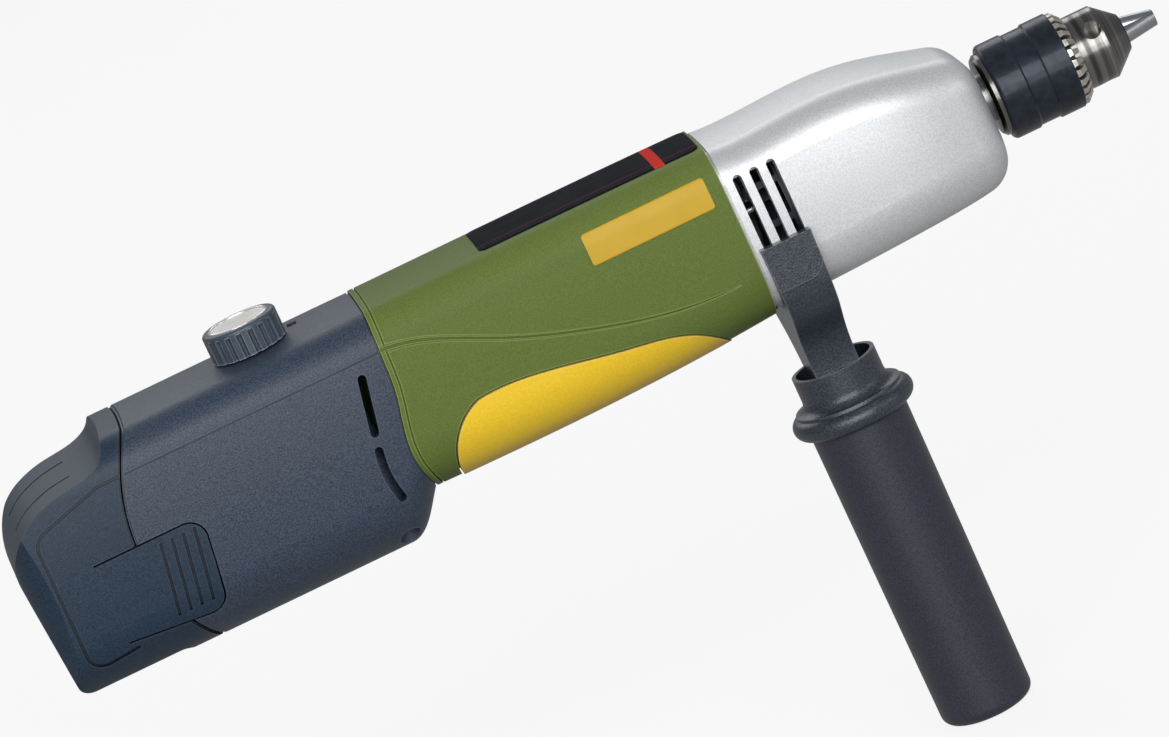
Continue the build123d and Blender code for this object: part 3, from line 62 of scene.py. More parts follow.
# Camera: a long lens, rolled so that the spindle climbs to the right
PHOTO_WIDTH = 1169
MM_PER_PIXEL = 0.254
VIEW_AZIMUTH = -3.5
VIEW_ELEVATION = 13.0
VIEW_ROLL = 24.85
VIEW_DISTANCE = 2.2
VIEW_CENTRE = (-169.55, 0.0, -18.5)
SENSOR_WIDTH = 36.0
FARTHEST_SEEN = 30.0

# Label on the top of the motor housing, millimetres
LABEL_FRONT = -120.9
LABEL_REAR = -182.0
LABEL_HALF_WIDTH = 13.7
LABEL_ROUND = 2.5
LABEL_STRIPE = (-133.2, -130.4)
LABEL_LINE = (-9.6, -9.0)
LABEL_BLACK = "#191a22"

# Badge on the right side of the motor housing, millimetres
BADGE_FRONT = -124.0
BADGE_REAR = -158.0
BADGE_LOW = 9.5
BADGE_TOP = 17.9
BADGE_ROUND = 0.8

# Thickness of the plates, and how far out they start before they drop onto the skin, millimetres
PLATE_THICK = 0.25
DROP_FROM = 60.0

# Rim round the dial's disc: radius of its round section in millimetres, and points round the disc and section
RIM_SECTION = 0.35
RIM_STEPS = (97, 13)

# Points of a seam that are closer than this are one point, metres
SAME_POINT = 1e-6

# Index tick beside the dial on the rear housing, millimetres
TICK_CENTRE = (-231.9, 6.0)
TICK_HALF = (1.25, 0.5)
TICK_ROUND = 0.3
TICK_THICK = 0.55

# Edges made paler, partly as wear and partly as painted highlight, and grooves painted darker as shade: how
# far a
# # point looks round, millimetres, and its openness from flat to full
EDGE_REACH = 0.4
EDGE_FULL = 0.5
GROOVE_REACH = 1.6
GROOVE_FULL = 0.55
FLAT_SKIN = 0.95

# Stretch of a noise pattern's values that roughness and colour follow
ROUGHNESS_SPAN = (0.3, 0.7)
COLOUR_SPAN = (0.35, 0.65)

# Floor: half width in millimetres, its paper, and its share of plain white by what looks at it
FLOOR_HALF = 6000.0
FLOOR_PAPER = "#585858"
FLOOR_PAPER_SEEN = "#e8e8e8"
FLOOR_WHITE = {"Is Camera Ray": 0.86, "Is Glossy Ray": 0.34, "Is Transmission Ray": 0.45}

# Softboxes: place and size in metres, and watts
SOFTBOXES = {
    "back": ((-0.2, 1.5, 1.1), (2.2, 0.9), 10.0),
    "front": ((-0.35, -1.85, 0.85), (2.2, 1.0), 29.0),
    "low": ((-0.3, -2.1, 0.1), (2.0, 0.5), 8.5),
    "side": ((1.6, -0.9, 0.5), (0.5, 1.0), 3.0),
}
LAMP_AIM = (-0.17, 0.0, -0.02)
WORLD_COLOUR = (0.93, 0.97, 1.0, 1.0)
WORLD_STRENGTH = 0.28


def linear(colour):
    """An sRGB hex colour such as #62703a as linear RGBA."""
    srgb = np.array([int(colour[i:i + 2], 16) for i in (1, 3, 5)]) / 255
    rgb = np.where(srgb <= 0.04045, srgb / 12.92, ((srgb + 0.055) / 1.055) ** 2.4)
    return (*rgb.tolist(), 1.0)


def add(tree, kind, sockets=None, links=None, **settings):
    """Adds one node with its settings, its socket values and its incoming links."""
    node = tree.nodes.new(kind)
    for name, value in settings.items():
        setattr(node, name, value)
    for name, value in (sockets or {}).items():
        node.inputs[name].default_value = value
    for name, source in (links or {}).items():
        tree.links.new(source, node.inputs[name])
    return node


def start(name, colour, metallic=0.0, roughness=0.5, **sockets):
    """A new skin: a material with its even values on the shader, and the place on the object in metres."""
    material = bpy.data.materials.new(name)
    material.use_nodes = True
    tree = material.node_tree
    shader = tree.nodes["Principled BSDF"]
    values = {"Base Color": linear(colour), "Metallic": metallic, "Roughness": roughness}
    values.update({key.replace("_", " "): value for key, value in sockets.items()})
    for socket, value in values.items():
        shader.inputs[socket].default_value = value
    place = add(tree, "ShaderNodeTexCoord").outputs["Object"]
    return SimpleNamespace(material=material, tree=tree, shader=shader, place=place)


def moulded_grain(skin, size_mm, depth_mm, strength=1.0):
    """Raised grain of that pitch and depth all over the skin.  Real grain is about 0.1 mm, finer than a
    pixel, so it is drawn at 0.3 mm or more, as coarse as it needs to show."""
    grain = add(skin.tree, "ShaderNodeTexNoise",
                {"Scale": 1 / (size_mm * MM), "Detail": 2.0, "Roughness": 0.5}, {"Vector": skin.place})
    bump = add(skin.tree, "ShaderNodeBump", {"Strength": strength, "Distance": depth_mm * MM},
               {"Height": grain.outputs["Fac"]})
    skin.tree.links.new(bump.outputs["Normal"], skin.shader.inputs["Normal"])


def mottle(skin, dark, light, size_mm, detail=3.0, place=None):
    """The colour drifts between two near shades in patches of that size.  Patches under 0.6 mm stand for
    grain of about 0.1 mm, and are drawn that coarse so that they show."""
    patch = add(skin.tree, "ShaderNodeTexNoise", {"Scale": 1 / (size_mm * MM), "Detail": detail},
                {"Vector": place or skin.place})
    ramp = add(skin.tree, "ShaderNodeValToRGB", links={"Fac": patch.outputs["Fac"]})
    for stop, position, colour in zip(ramp.color_ramp.elements, COLOUR_SPAN, (dark, light)):
        stop.position = position
        stop.color = linear(colour)
    skin.tree.links.new(ramp.outputs["Color"], skin.shader.inputs["Base Color"])


def edge_wear_sheen_and_groove_shade(skin, pale, dark, edge_wear_and_highlight, groove_shade):
    """Outer edges are made paler, partly as wear and partly as a painted highlight, and the bottoms of
    grooves are painted dark as shade.  Both are found by how much skin lies within a short reach: judged from
    inside for an edge, and from outside for a groove."""
    base = skin.shader.inputs["Base Color"]
    kinds = ((True, EDGE_REACH, EDGE_FULL, pale, edge_wear_and_highlight), (False, GROOVE_REACH, GROOVE_FULL, dark, groove_shade))
    for inside, reach_mm, full, colour, amount in kinds:
        around = add(skin.tree, "ShaderNodeAmbientOcclusion", {"Distance": reach_mm * MM},
                     inside=inside, only_local=True, samples=8)
        share = add(skin.tree, "ShaderNodeMapRange",
                    {"From Min": FLAT_SKIN, "From Max": full, "To Min": 0.0, "To Max": amount},
                    {"Value": around.outputs["AO"]})
        mixed = add(skin.tree, "ShaderNodeMix", {"B": linear(colour)},
                    {"Factor": share.outputs["Result"], "A": base.links[0].from_socket}, data_type="RGBA")
        skin.tree.links.new(mixed.outputs["Result"], base)


def handled_sheen(skin, smooth, rough, size_mm):
    """Roughness wanders between two values, as on a skin that hands have touched."""
    low, high = ROUGHNESS_SPAN
    patch = add(skin.tree, "ShaderNodeTexNoise", {"Scale": 1 / (size_mm * MM), "Detail": 4.0},
                {"Vector": skin.place})
    span = add(skin.tree, "ShaderNodeMapRange",
               {"From Min": low, "From Max": high, "To Min": smooth, "To Max": rough},
               {"Value": patch.outputs["Fac"]})
    skin.tree.links.new(span.outputs["Result"], skin.shader.inputs["Roughness"])


def tool_lines(skin, pitch_mm, depth_mm, rough, spread):
    """Fine turned lines round the spindle axis: noise stretched so that it changes along X alone.  Lines of a
    tool are about 0.1 mm apart, and are drawn at 0.3 mm or more so that they show."""
    low, high = ROUGHNESS_SPAN
    along = add(skin.tree, "ShaderNodeMapping", {"Scale": (1 / (pitch_mm * MM), 0.0, 0.0)},
                {"Vector": skin.place})
    lines = add(skin.tree, "ShaderNodeTexNoise", {"Scale": 1.0, "Detail": 3.0},
                {"Vector": along.outputs["Vector"]})
    span = add(skin.tree, "ShaderNodeMapRange",
               {"From Min": low, "From Max": high, "To Min": rough - spread, "To Max": rough + spread},
               {"Value": lines.outputs["Fac"]})
    skin.tree.links.new(span.outputs["Result"], skin.shader.inputs["Roughness"])
    bump = add(skin.tree, "ShaderNodeBump", {"Strength": 0.6, "Distance": depth_mm * MM},
               {"Height": lines.outputs["Fac"]})
    skin.tree.links.new(bump.outputs["Normal"], skin.shader.inputs["Normal"])


def blasted_aluminium():
    """Die-cast aluminium, shot-blasted and clear-lacquered: satin silver with a fine sparkle."""
    skin = start("blasted_aluminium", "#dcdee1", metallic=0.52, roughness=0.45, Coat_Weight=0.04,
                 Coat_Roughness=0.35)
    mottle(skin, "#d3d5d8", "#e5e6e8", size_mm=0.45, detail=1.0)
    moulded_grain(skin, size_mm=0.42, depth_mm=0.018, strength=0.7)
    return skin.material


def machined_aluminium():
    """Turned aluminium plate: bright, with fine rings from the tool."""
    skin = start("machined_aluminium", "#c8cacd", metallic=1.0, roughness=0.32)
    tool_lines(skin, pitch_mm=0.3, depth_mm=0.006, rough=0.32, spread=0.08)
    return skin.material


def spun_aluminium():
    """Spun aluminium disc: rings about the dial's own axis catch the light as a fan.  The wave turns 20
    radians in each of its units, so the rings are 1.78 mm apart, coarser than real ones so that they show."""
    unit_mm = 0.9 * 2 * math.pi
    skin = start("spun_aluminium", "#f3eee8", metallic=0.25, roughness=0.34)
    low, high = (Vector(corner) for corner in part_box("dial_cap"))
    middle = (low + high) / 2
    centred = add(skin.tree, "ShaderNodeMapping", {"Location": (-middle.x, -middle.y, 0.0)},
                  {"Vector": skin.place})
    rings = add(skin.tree, "ShaderNodeTexWave",
                {"Scale": 1 / (unit_mm * MM), "Distortion": 0.6, "Detail": 2.0},
                {"Vector": centred.outputs["Vector"]}, wave_type="RINGS", rings_direction="Z")
    bump = add(skin.tree, "ShaderNodeBump", {"Strength": 0.35, "Distance": 0.01 * MM},
               {"Height": rings.outputs["Fac"]})
    skin.tree.links.new(bump.outputs["Normal"], skin.shader.inputs["Normal"])
    handled_sheen(skin, smooth=0.25, rough=0.38, size_mm=4.0)
    return skin.material


def polished_aluminium():
    """Polished aluminium of the dial's rim: bright and smooth, with faint wiping marks."""
    skin = start("polished_aluminium", "#f2f2f2", metallic=0.8, roughness=0.18)
    handled_sheen(skin, smooth=0.12, rough=0.26, size_mm=2.0)
    return skin.material


def turned_steel():
    """Turned and ground steel of the chuck body: bright, with fine rings and broader streaks round the axis.
    For the streaks the place counts pitches along X, so that a patch of one whole unit is one pitch wide."""
    streak_mm = 1.6
    skin = start("turned_steel", "#686664", metallic=1.0, roughness=0.2)
    tool_lines(skin, pitch_mm=0.35, depth_mm=0.008, rough=0.22, spread=0.08)
    along = add(skin.tree, "ShaderNodeMapping", {"Scale": (1 / (streak_mm * MM), 0.0, 0.0)},
                {"Vector": skin.place})
    mottle(skin, "#4a4846", "#979491", size_mm=1 / MM, place=along.outputs["Vector"])
    return skin.material


def cut_steel():
    """Cut steel teeth of the key ring: rougher than the turned nose, with painted shade between the teeth and
    paler edges, partly wear and partly painted highlight.
    """
    skin = start("cut_steel", "#c4beb3", metallic=0.8, roughness=0.38)
    mottle(skin, "#b4aea3", "#d6d0c5", size_mm=0.8)
    moulded_grain(skin, size_mm=0.3, depth_mm=0.01, strength=0.5)
    # Paler edges are partly wear and partly painted highlight; darker groove bottoms are painted shade.
    edge_wear_sheen_and_groove_shade(skin, "#f4efe6", "#2b2926", edge_wear_and_highlight=0.5, groove_shade=0.8)
    return skin.material


def jaw_steel():
    """Hardened and ground jaw steel: cool, with grinding lines along the jaw, drawn coarser than real ones so
    that they show."""
    lines_per_mm = (0.12, 3.5, 3.5)
    skin = start("jaw_steel", "#a9acb0", metallic=1.0, roughness=0.28)
    across = add(skin.tree, "ShaderNodeMapping", {"Scale": [count / MM for count in lines_per_mm]},
                 {"Vector": skin.place})
    lines = add(skin.tree, "ShaderNodeTexNoise", {"Scale": 1.0, "Detail": 2.0},
                {"Vector": across.outputs["Vector"]})
    bump = add(skin.tree, "ShaderNodeBump", {"Strength": 0.4, "Distance": 0.008 * MM},
               {"Height": lines.outputs["Fac"]})
    skin.tree.links.new(bump.outputs["Normal"], skin.shader.inputs["Normal"])
    return skin.material


def blackened_steel():
    """Hot-blackened chuck sleeve: near-black oxide with an oily gloss and faint cloudy patches."""
    skin = start("blackened_steel", "#242a35", metallic=0.3, roughness=0.3, Specular_IOR_Level=0.25,
                 Coat_Weight=0.15, Coat_Roughness=0.06)
    mottle(skin, "#1f252e", "#2b323e", size_mm=2.5)
    handled_sheen(skin, smooth=0.26, rough=0.38, size_mm=1.6)
    return skin.material


def bearing_steel():
    """Polished bearing steel."""
    skin = start("bearing_steel", "#c3c5c8", metallic=1.0, roughness=0.14)
    handled_sheen(skin, smooth=0.1, rough=0.2, size_mm=3.0)
    return skin.material


def gear_steel():
    """Hobbed and hardened gear steel: grey with a light oil film."""
    skin = start("gear_steel", "#8f9092", metallic=1.0, roughness=0.34, Coat_Weight=0.3)
    mottle(skin, "#828385", "#9c9d9f", size_mm=1.2)
    return skin.material


def plated_steel():
    """Zinc-plated screws and pins: cool grey with a slight bloom."""
    skin = start("plated_steel", "#a7aaad", metallic=1.0, roughness=0.3)
    mottle(skin, "#999c9f", "#b4b7ba", size_mm=1.0)
    return skin.material


def drawn_steel():
    """Deep-drawn motor can: plated sheet whose gloss varies in soft patches."""
    skin = start("drawn_steel", "#9b9da0", metallic=1.0, roughness=0.36)
    handled_sheen(skin, smooth=0.3, rough=0.45, size_mm=5.0)
    return skin.material


def olive_abs():
    """Moulded ABS, satin: olive green with a very fine spark-eroded grain and a soft wide highlight."""
    skin = start("olive_abs", "#68783d", roughness=0.42, IOR=1.52, Specular_IOR_Level=0.06)
    mottle(skin, "#647439", "#6c7c41", size_mm=0.4, detail=0.0)
    moulded_grain(skin, size_mm=0.5, depth_mm=0.03, strength=0.8)
    # Paler edges are partly wear and partly painted highlight; darker groove bottoms are painted shade.
    edge_wear_sheen_and_groove_shade(skin, "#a9b96e", "#2f3a1c", edge_wear_and_highlight=0.6, groove_shade=0.35)
    return skin.material


def yellow_elastomer():
    """Overmoulded soft elastomer: warm yellow, matt, with a fine leathery grain."""
    skin = start("yellow_elastomer", "#fbd02f", roughness=0.5, IOR=1.48, Specular_IOR_Level=0.35,
                 Sheen_Weight=0.1)
    mottle(skin, "#f7cc29", "#ffd535", size_mm=0.4, detail=0.0)
    moulded_grain(skin, size_mm=0.5, depth_mm=0.03, strength=0.7)
    # Paler edges are partly wear and partly painted highlight; darker groove bottoms are painted shade.
    edge_wear_sheen_and_groove_shade(skin, "#ffe08a", "#7a5d18", edge_wear_and_highlight=0.6, groove_shade=0.4)
    return skin.material


def slate_nylon():
    """Glass-filled nylon of the rear housing: dark slate blue, its highlights greyed by an eroded grain."""
    skin = start("slate_nylon", "#343f50", roughness=0.46, IOR=1.53, Specular_IOR_Level=0.4)
    mottle(skin, "#283342", "#404c5e", size_mm=0.36, detail=0.0)
    moulded_grain(skin, size_mm=0.45, depth_mm=0.09)
    # Paler edges are partly wear and partly painted highlight; darker groove bottoms are painted shade.
    edge_wear_sheen_and_groove_shade(skin, "#8d97a6", "#101d2b", edge_wear_and_highlight=0.15, groove_shade=0.85)
    return skin.material


def battery_nylon():
    """Glass-filled nylon of the battery: a shade bluer and darker than the housing."""
    skin = start("battery_nylon", "#233446", roughness=0.46, IOR=1.53, Specular_IOR_Level=0.3)
    mottle(skin, "#1b2c3c", "#2b3d50", size_mm=0.36, detail=0.0)
    moulded_grain(skin, size_mm=0.45, depth_mm=0.05)
    # Paler edges are partly wear and partly painted highlight; darker groove bottoms are painted shade.
    edge_wear_sheen_and_groove_shade(skin, "#8d97a6", "#0d1a28", edge_wear_and_highlight=0.1, groove_shade=0.85)
    return skin.material


def handle_nylon():
    """Moulded nylon of the side handle's grip: charcoal with a sand-like grain."""
    skin = start("handle_nylon", "#2c303b", roughness=0.4, IOR=1.53, Specular_IOR_Level=0.5)
    mottle(skin, "#252933", "#353946", size_mm=0.4, detail=0.0)
    moulded_grain(skin, size_mm=0.5, depth_mm=0.05, strength=0.9)
    # Paler edges are partly wear and partly painted highlight; darker groove bottoms are painted shade.
    edge_wear_sheen_and_groove_shade(skin, "#85888f", "#15161a", edge_wear_and_highlight=0.35, groove_shade=0.5)
    return skin.material


def gritty_nylon():
    """Moulded nylon of the handle's yoke and collar: as the grip's, with a coarser grit that sparkles."""
    skin = start("gritty_nylon", "#2d343f", roughness=0.34, IOR=1.53, Specular_IOR_Level=0.6)
    mottle(skin, "#232933", "#39404c", size_mm=0.5, detail=0.0)
    moulded_grain(skin, size_mm=0.55, depth_mm=0.1)
    # Paler edges are partly wear and partly painted highlight; darker groove bottoms are painted shade.
    edge_wear_sheen_and_groove_shade(skin, "#8d939c", "#15161a", edge_wear_and_highlight=0.35, groove_shade=0.5)
    return skin.material


def dial_nylon():
    """Moulded nylon of the dial: blue-grey, smoother where fingers turn it, pale along the ribs, partly as
    wear and partly as painted highlight, with painted shade between them.
    """
    skin = start("dial_nylon", "#3f4855", roughness=0.37, IOR=1.53, Specular_IOR_Level=0.5)
    mottle(skin, "#36414f", "#42505f", size_mm=0.4, detail=0.0)
    handled_sheen(skin, smooth=0.3, rough=0.44, size_mm=3.0)
    moulded_grain(skin, size_mm=0.4, depth_mm=0.012, strength=0.5)
    # Paler rib edges are partly wear and partly painted highlight; darker gaps are painted shade.
    edge_wear_sheen_and_groove_shade(skin, "#b4bdc8", "#0f161f", edge_wear_and_highlight=0.6, groove_shade=0.9)
    return skin.material


def black_nylon():
    """Plain black nylon of the inner mouldings."""
    skin = start("black_nylon", "#262b35", roughness=0.5, IOR=1.53)
    moulded_grain(skin, size_mm=0.4, depth_mm=0.012, strength=0.5)
    return skin.material


def seal_rubber():
    """Moulded nitrile rubber of the front seal."""
    skin = start("seal_rubber", "#141415", roughness=0.6, IOR=1.52)
    handled_sheen(skin, smooth=0.5, rough=0.7, size_mm=2.0)
    return skin.material


def sintered_magnet():
    """Sintered ferrite: dark grey and dull, faintly mottled."""
    skin = start("sintered_magnet", "#3a3a3c", metallic=0.2, roughness=0.7)
    mottle(skin, "#313133", "#444446", size_mm=0.6)
    return skin.material


def stacked_iron():
    """Armature core of stacked sheet iron: the edges of its sheets show as thin rings round the axis."""
    skin = start("stacked_iron", "#7c7d80", metallic=1.0, roughness=0.45)
    tool_lines(skin, pitch_mm=0.5, depth_mm=0.02, rough=0.45, spread=0.1)
    return skin.material


def enamelled_copper():
    """Enamelled copper wire: amber over copper."""
    skin = start("enamelled_copper", "#b4602c", metallic=0.9, roughness=0.3, Coat_Weight=0.5)
    mottle(skin, "#9c4f22", "#c77238", size_mm=0.7)
    return skin.material


def turned_brass():
    """Turned brass of the bushes and the grip insert."""
    skin = start("turned_brass", "#c9a456", metallic=1.0, roughness=0.28)
    tool_lines(skin, pitch_mm=0.3, depth_mm=0.006, rough=0.28, spread=0.06)
    return skin.material


def contact_copper():
    """Plated copper of the commutator and the battery terminals."""
    skin = start("contact_copper", "#c98a5a", metallic=1.0, roughness=0.26)
    handled_sheen(skin, smooth=0.2, rough=0.36, size_mm=1.5)
    return skin.material


def pressed_carbon():
    """Pressed carbon of the brushes."""
    skin = start("pressed_carbon", "#242426", metallic=0.1, roughness=0.6)
    mottle(skin, "#1d1d1f", "#2d2d30", size_mm=0.5)
    return skin.material


def board_laminate():
    """Green printed-board laminate under lacquer."""
    skin = start("board_laminate", "#22603a", roughness=0.3, Coat_Weight=0.4)
    mottle(skin, "#1c5532", "#286b42", size_mm=1.2)
    return skin.material


def cell_wrap():
    """Shrink-wrapped lithium cells: smooth blue film."""
    skin = start("cell_wrap", "#3366a8", roughness=0.3, IOR=1.5)
    handled_sheen(skin, smooth=0.24, rough=0.4, size_mm=4.0)
    return skin.material


def printed_label():
    """Printed polyester label: matt black with one red cross stripe and a thin dark red line."""
    skin = start("printed_label", LABEL_BLACK, roughness=0.5, IOR=1.5, Specular_IOR_Level=0.01)
    axes = add(skin.tree, "ShaderNodeSeparateXYZ", links={"Vector": skin.place})
    under = {}
    for axis, (low, high), colour in (("Y", LABEL_LINE, "#5a2430"), ("X", LABEL_STRIPE, "#d8352c")):
        inside = add(skin.tree, "ShaderNodeMath", {1: (low + high) / 2 * MM, 2: (high - low) / 2 * MM},
                     {0: axes.outputs[axis]}, operation="COMPARE")
        ink = add(skin.tree, "ShaderNodeMix", {"A": linear(LABEL_BLACK), "B": linear(colour)},
                  {"Factor": inside.outputs["Value"], **under}, data_type="RGBA")
        under = {"A": ink.outputs["Result"]}
    skin.tree.links.new(under["A"], skin.shader.inputs["Base Color"])
    handled_sheen(skin, smooth=0.42, rough=0.52, size_mm=8.0)
    return skin.material


def printed_badge():
    """Printed polyester badge: bare warm yellow film, slightly glossy."""
    skin = start("printed_badge", "#d2aa2f", roughness=0.42, IOR=1.5, Specular_IOR_Level=0.25)
    mottle(skin, "#d0a82d", "#d4ac32", size_mm=7.0)
    return skin.material


# The finish of each material slot, and the pieces of the handle whose finish is grittier than their slot's
FINISHES = {
    "chuck_steel": turned_steel, "key_ring_steel": cut_steel, "sleeve_black": blackened_steel,
    "jaw_steel": jaw_steel, "bearing_steel": bearing_steel, "gear_steel": gear_steel,
    "cast_head": blasted_aluminium, "plate_aluminium": machined_aluminium, "olive_plastic": olive_abs,
    "yellow_rubber": yellow_elastomer, "dark_plastic": slate_nylon, "battery_plastic": battery_nylon,
    "handle_plastic": handle_nylon, "dial_plastic": dial_nylon, "dial_disc": spun_aluminium,
    "screw_steel": plated_steel, "motor_steel": drawn_steel, "magnet": sintered_magnet,
    "core_iron": stacked_iron, "copper": enamelled_copper, "brass": turned_brass, "carbon": pressed_carbon,
    "black_plastic": black_nylon, "seal_rubber": seal_rubber, "board_green": board_laminate,
    "cell_wrap": cell_wrap, "contact_copper": contact_copper,
}
GRITTY_PIECES = ("handle_yoke", "handle_collar")


def finish_nodes():
    """Every construction piece takes the finish of its material slot, apart from the gritty ones."""
    made = {slot: finish() for slot, finish in FINISHES.items()}
    gritty = gritty_nylon()
    for row in frame["record"]["subparts"]:
        piece = nodes[row["node"]]
        if not piece.material_slots:
            piece.data.materials.append(None)
        for slot in piece.material_slots:
            slot.material = gritty if row["node"] in GRITTY_PIECES else made[row["material_slot"]]


def rounded_rectangle(half_u, half_v, corner, steps_u=60, steps_v=24):
    """Grid over a rectangle with round corners: u is bunched at the ends by a cosine, and v is scaled by the
    half width at that u, which falls along a quarter circle inside the corner length."""
    u = -half_u * np.cos(np.linspace(0, np.pi, steps_u))
    into = np.clip(np.abs(u) - (half_u - corner), 0, corner)
    half = half_v - corner + np.sqrt(np.maximum(corner ** 2 - into ** 2, 0))
    v = np.linspace(-1, 1, steps_v)
    return np.repeat(u[:, None], steps_v, 1), half[:, None] * v[None, :]


def grid_mesh(name, x, y, z):
    """A mesh over three equal arrays of coordinates in millimetres, one quad per cell."""
    rows, columns = x.shape
    points = np.stack([x, y, z], -1).reshape(-1, 3) * MM
    index = np.arange(rows * columns).reshape(rows, columns)
    corners = [index[:-1, :-1], index[1:, :-1], index[1:, 1:], index[:-1, 1:]]
    quads = np.stack(corners, -1).reshape(-1, 4)
    mesh = bpy.data.meshes.new(name)
    mesh.from_pydata(points.tolist(), [], quads.tolist())
    mesh.shade_smooth()
    piece = bpy.data.objects.new(name, mesh)
    bpy.context.collection.objects.link(piece)
    return piece


def close_seams(piece):
    """Merges the rows where a grid meets itself and turns its faces outwards."""
    shell = bmesh.new()
    shell.from_mesh(piece.data)
    bmesh.ops.remove_doubles(shell, verts=shell.verts, dist=SAME_POINT)
    bmesh.ops.recalc_face_normals(shell, faces=shell.faces)
    shell.to_mesh(piece.data)
    shell.free()


def settle(piece, node, axis, thick_mm):
    """Drops a grid along one axis onto a node's skin, thickens it outwards and keeps that as its mesh."""
    drop = piece.modifiers.new("drop", "SHRINKWRAP")
    drop.target = nodes[node]
    drop.wrap_method = "PROJECT"
    drop.use_project_x, drop.use_project_y, drop.use_project_z = (letter == axis for letter in "XYZ")
    drop.use_negative_direction = True
    drop.use_positive_direction = True
    wall = piece.modifiers.new("wall", "SOLIDIFY")
    wall.thickness = thick_mm * MM
    wall.offset = 1.0
    graph = bpy.context.evaluated_depsgraph_get()
    settled = bpy.data.meshes.new_from_object(piece.evaluated_get(graph))
    piece.modifiers.clear()
    piece.data = settled


def label_plate():
    """Black label wrapped over the crown of the motor housing: a rounded rectangle dropped along Z."""
    u, v = rounded_rectangle((LABEL_FRONT - LABEL_REAR) / 2, LABEL_HALF_WIDTH, LABEL_ROUND)
    piece = grid_mesh("label_plate", u + (LABEL_FRONT + LABEL_REAR) / 2, v, np.full_like(u, DROP_FROM))
    settle(piece, "motor_housing", "Z", PLATE_THICK)
    piece.data.materials.append(printed_label())
    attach(piece, "tool")


def badge_plate():
    """Bare yellow badge on the right side of the motor housing: a rounded rectangle dropped along Y."""
    half_u, half_v = (BADGE_FRONT - BADGE_REAR) / 2, (BADGE_TOP - BADGE_LOW) / 2
    u, v = rounded_rectangle(half_u, half_v, BADGE_ROUND)
    piece = grid_mesh("badge_plate", u + (BADGE_FRONT + BADGE_REAR) / 2, np.full_like(u, -DROP_FROM),
                      v + (BADGE_TOP + BADGE_LOW) / 2)
    settle(piece, "motor_housing", "Y", PLATE_THICK)
    piece.data.materials.append(printed_badge())
    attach(piece, "tool")


def index_tick():
    """Raised tick in front of the dial, against which its setting is read: a small rounded rectangle."""
    u, v = rounded_rectangle(*TICK_HALF, TICK_ROUND, steps_u=14, steps_v=8)
    piece = grid_mesh("index_tick", u + TICK_CENTRE[0], v + TICK_CENTRE[1], np.full_like(u, DROP_FROM))
    settle(piece, "rear_shell_upper", "Z", TICK_THICK)
    piece.data.materials.append(black_nylon())
    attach(piece, "tool")


def dial_rim():
    """Bright rim round the dial's disc: a small circle of radius r carried round a circle of radius R, so
    that a point is ((R + r cos v) cos u, (R + r cos v) sin u, r sin v)."""
    low, high = (np.array(corner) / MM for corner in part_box("dial_cap"))
    middle = (low + high) / 2
    big = (high[0] - low[0]) / 2 - RIM_SECTION
    round_disc = np.linspace(0, 2 * np.pi, RIM_STEPS[0])
    round_section = np.linspace(0, -2 * np.pi, RIM_STEPS[1])
    u, v = np.meshgrid(round_disc, round_section, indexing="ij")
    out = big + RIM_SECTION * np.cos(v)
    piece = grid_mesh("dial_rim", middle[0] + out * np.cos(u), middle[1] + out * np.sin(u),
                      high[2] + RIM_SECTION * np.sin(v))
    close_seams(piece)
    piece.data.materials.append(polished_aluminium())
    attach(piece, "dial")


def floor():
    """A wide flat floor of paper under the grip's end: nearly white to the camera, with the tool's shadow,
    and darker to bounced light, so that it throws little of it up at the tool."""
    low = cad_box[0][2] / MM
    span = np.linspace(-FLOOR_HALF, FLOOR_HALF, 3)
    u, v = np.meshgrid(span, span, indexing="ij")
    piece = grid_mesh("floor", u, v, np.full_like(u, low))
    skin = start("floor_paper", FLOOR_PAPER, roughness=0.9)
    ray = add(skin.tree, "ShaderNodeLightPath")
    paper = add(skin.tree, "ShaderNodeMix", {"A": linear(FLOOR_PAPER), "B": linear(FLOOR_PAPER_SEEN)},
                {"Factor": ray.outputs["Is Camera Ray"]}, data_type="RGBA")
    skin.tree.links.new(paper.outputs["Result"], skin.shader.inputs["Base Color"])
    so_far = {}
    for kind, part in FLOOR_WHITE.items():
        white_part = add(skin.tree, "ShaderNodeMath", {1: part}, {0: ray.outputs[kind]}, operation="MULTIPLY")
        share = add(skin.tree, "ShaderNodeMath", {1: 0.0}, {0: white_part.outputs["Value"], **so_far},
                    operation="MAXIMUM")
        so_far = {1: share.outputs["Value"]}
    white = add(skin.tree, "ShaderNodeEmission", {"Color": (1, 1, 1, 1), "Strength": 1.0})
    both = add(skin.tree, "ShaderNodeMixShader",
               links={0: so_far[1], 1: skin.shader.outputs["BSDF"], 2: white.outputs["Emission"]})
    skin.tree.links.new(both.outputs["Shader"], skin.tree.nodes["Material Output"].inputs["Surface"])
    piece.data.materials.append(skin.material)


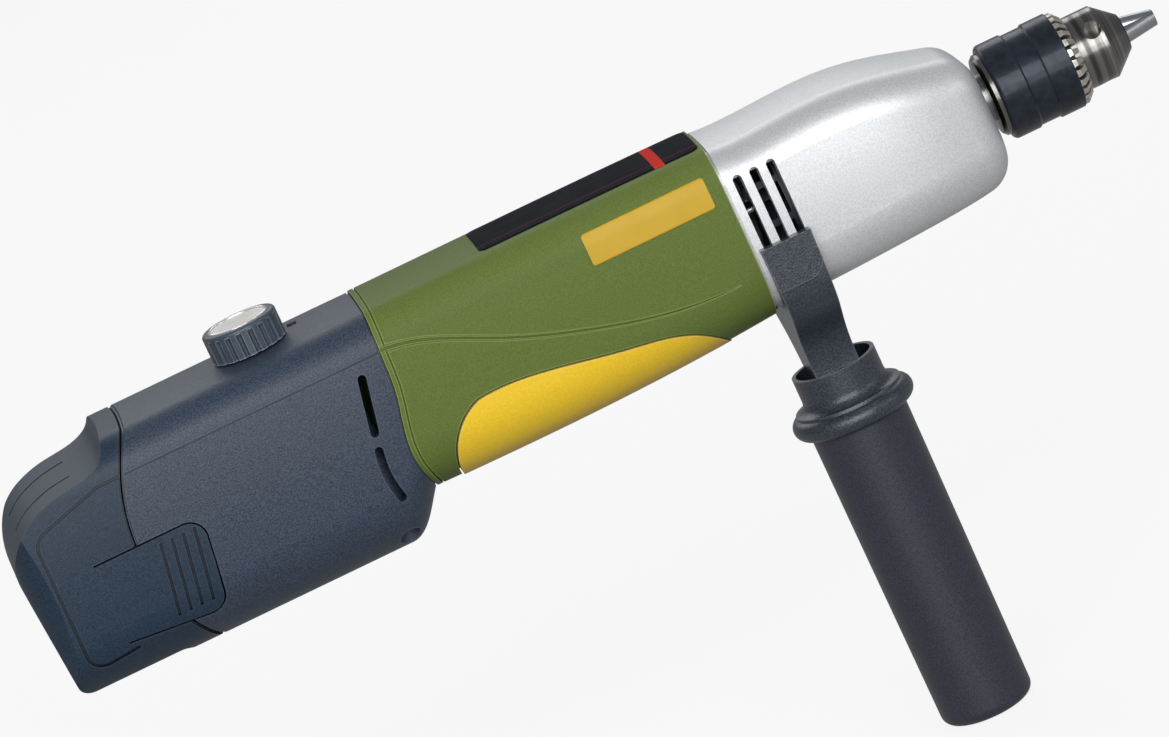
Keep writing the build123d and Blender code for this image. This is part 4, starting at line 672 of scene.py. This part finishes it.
def softbox(name, place, size, watts):
    """One soft rectangular lamp that faces the tool."""
    lamp = bpy.data.lights.new(name, "AREA")
    lamp.shape = "RECTANGLE"
    lamp.size, lamp.size_y = size
    lamp.energy = watts
    piece = bpy.data.objects.new(name, lamp)
    piece.location = place
    piece.rotation_euler = (Vector(LAMP_AIM) - Vector(place)).to_track_quat("-Z", "Y").to_euler()
    bpy.context.collection.objects.link(piece)


def studio():
    """Pale world and softboxes: high behind the tool, large in front, low in front, small at one side."""
    world = bpy.data.worlds.new("studio")
    bpy.context.scene.world = world
    world.use_nodes = True
    background = world.node_tree.nodes["Background"]
    background.inputs["Color"].default_value = WORLD_COLOUR
    background.inputs["Strength"].default_value = WORLD_STRENGTH
    for name, (place, size, watts) in SOFTBOXES.items():
        softbox(name, place, size, watts)


def photo_camera():
    """Camera at the viewing angle: back = (sin a cos e, -cos a cos e, sin e), turned about it by the roll."""
    azimuth, elevation, roll = (math.radians(angle) for angle in (VIEW_AZIMUTH, VIEW_ELEVATION, VIEW_ROLL))
    back = Vector((math.sin(azimuth) * math.cos(elevation), -math.cos(azimuth) * math.cos(elevation),
                   math.sin(elevation)))
    level = Vector((math.cos(azimuth), math.sin(azimuth), 0.0))
    up = back.cross(level)
    right = level * math.cos(roll) - up * math.sin(roll)
    top = level * math.sin(roll) + up * math.cos(roll)
    lens = bpy.data.cameras.new("camera")
    lens.sensor_width = SENSOR_WIDTH
    lens.lens = SENSOR_WIDTH * VIEW_DISTANCE / (PHOTO_WIDTH * MM_PER_PIXEL * MM)
    lens.clip_end = FARTHEST_SEEN
    piece = bpy.data.objects.new("camera", lens)
    turn = Matrix((right, top, back)).transposed().to_4x4()
    centre = Vector(VIEW_CENTRE) * MM
    piece.matrix_world = Matrix.Translation(centre + back * VIEW_DISTANCE) @ turn
    bpy.context.collection.objects.link(piece)
    bpy.context.scene.camera = piece


finish_nodes()
label_plate()
badge_plate()
index_tick()
dial_rim()
floor()
studio()
photo_camera()
bpy.context.scene.view_settings.view_transform = "Standard"
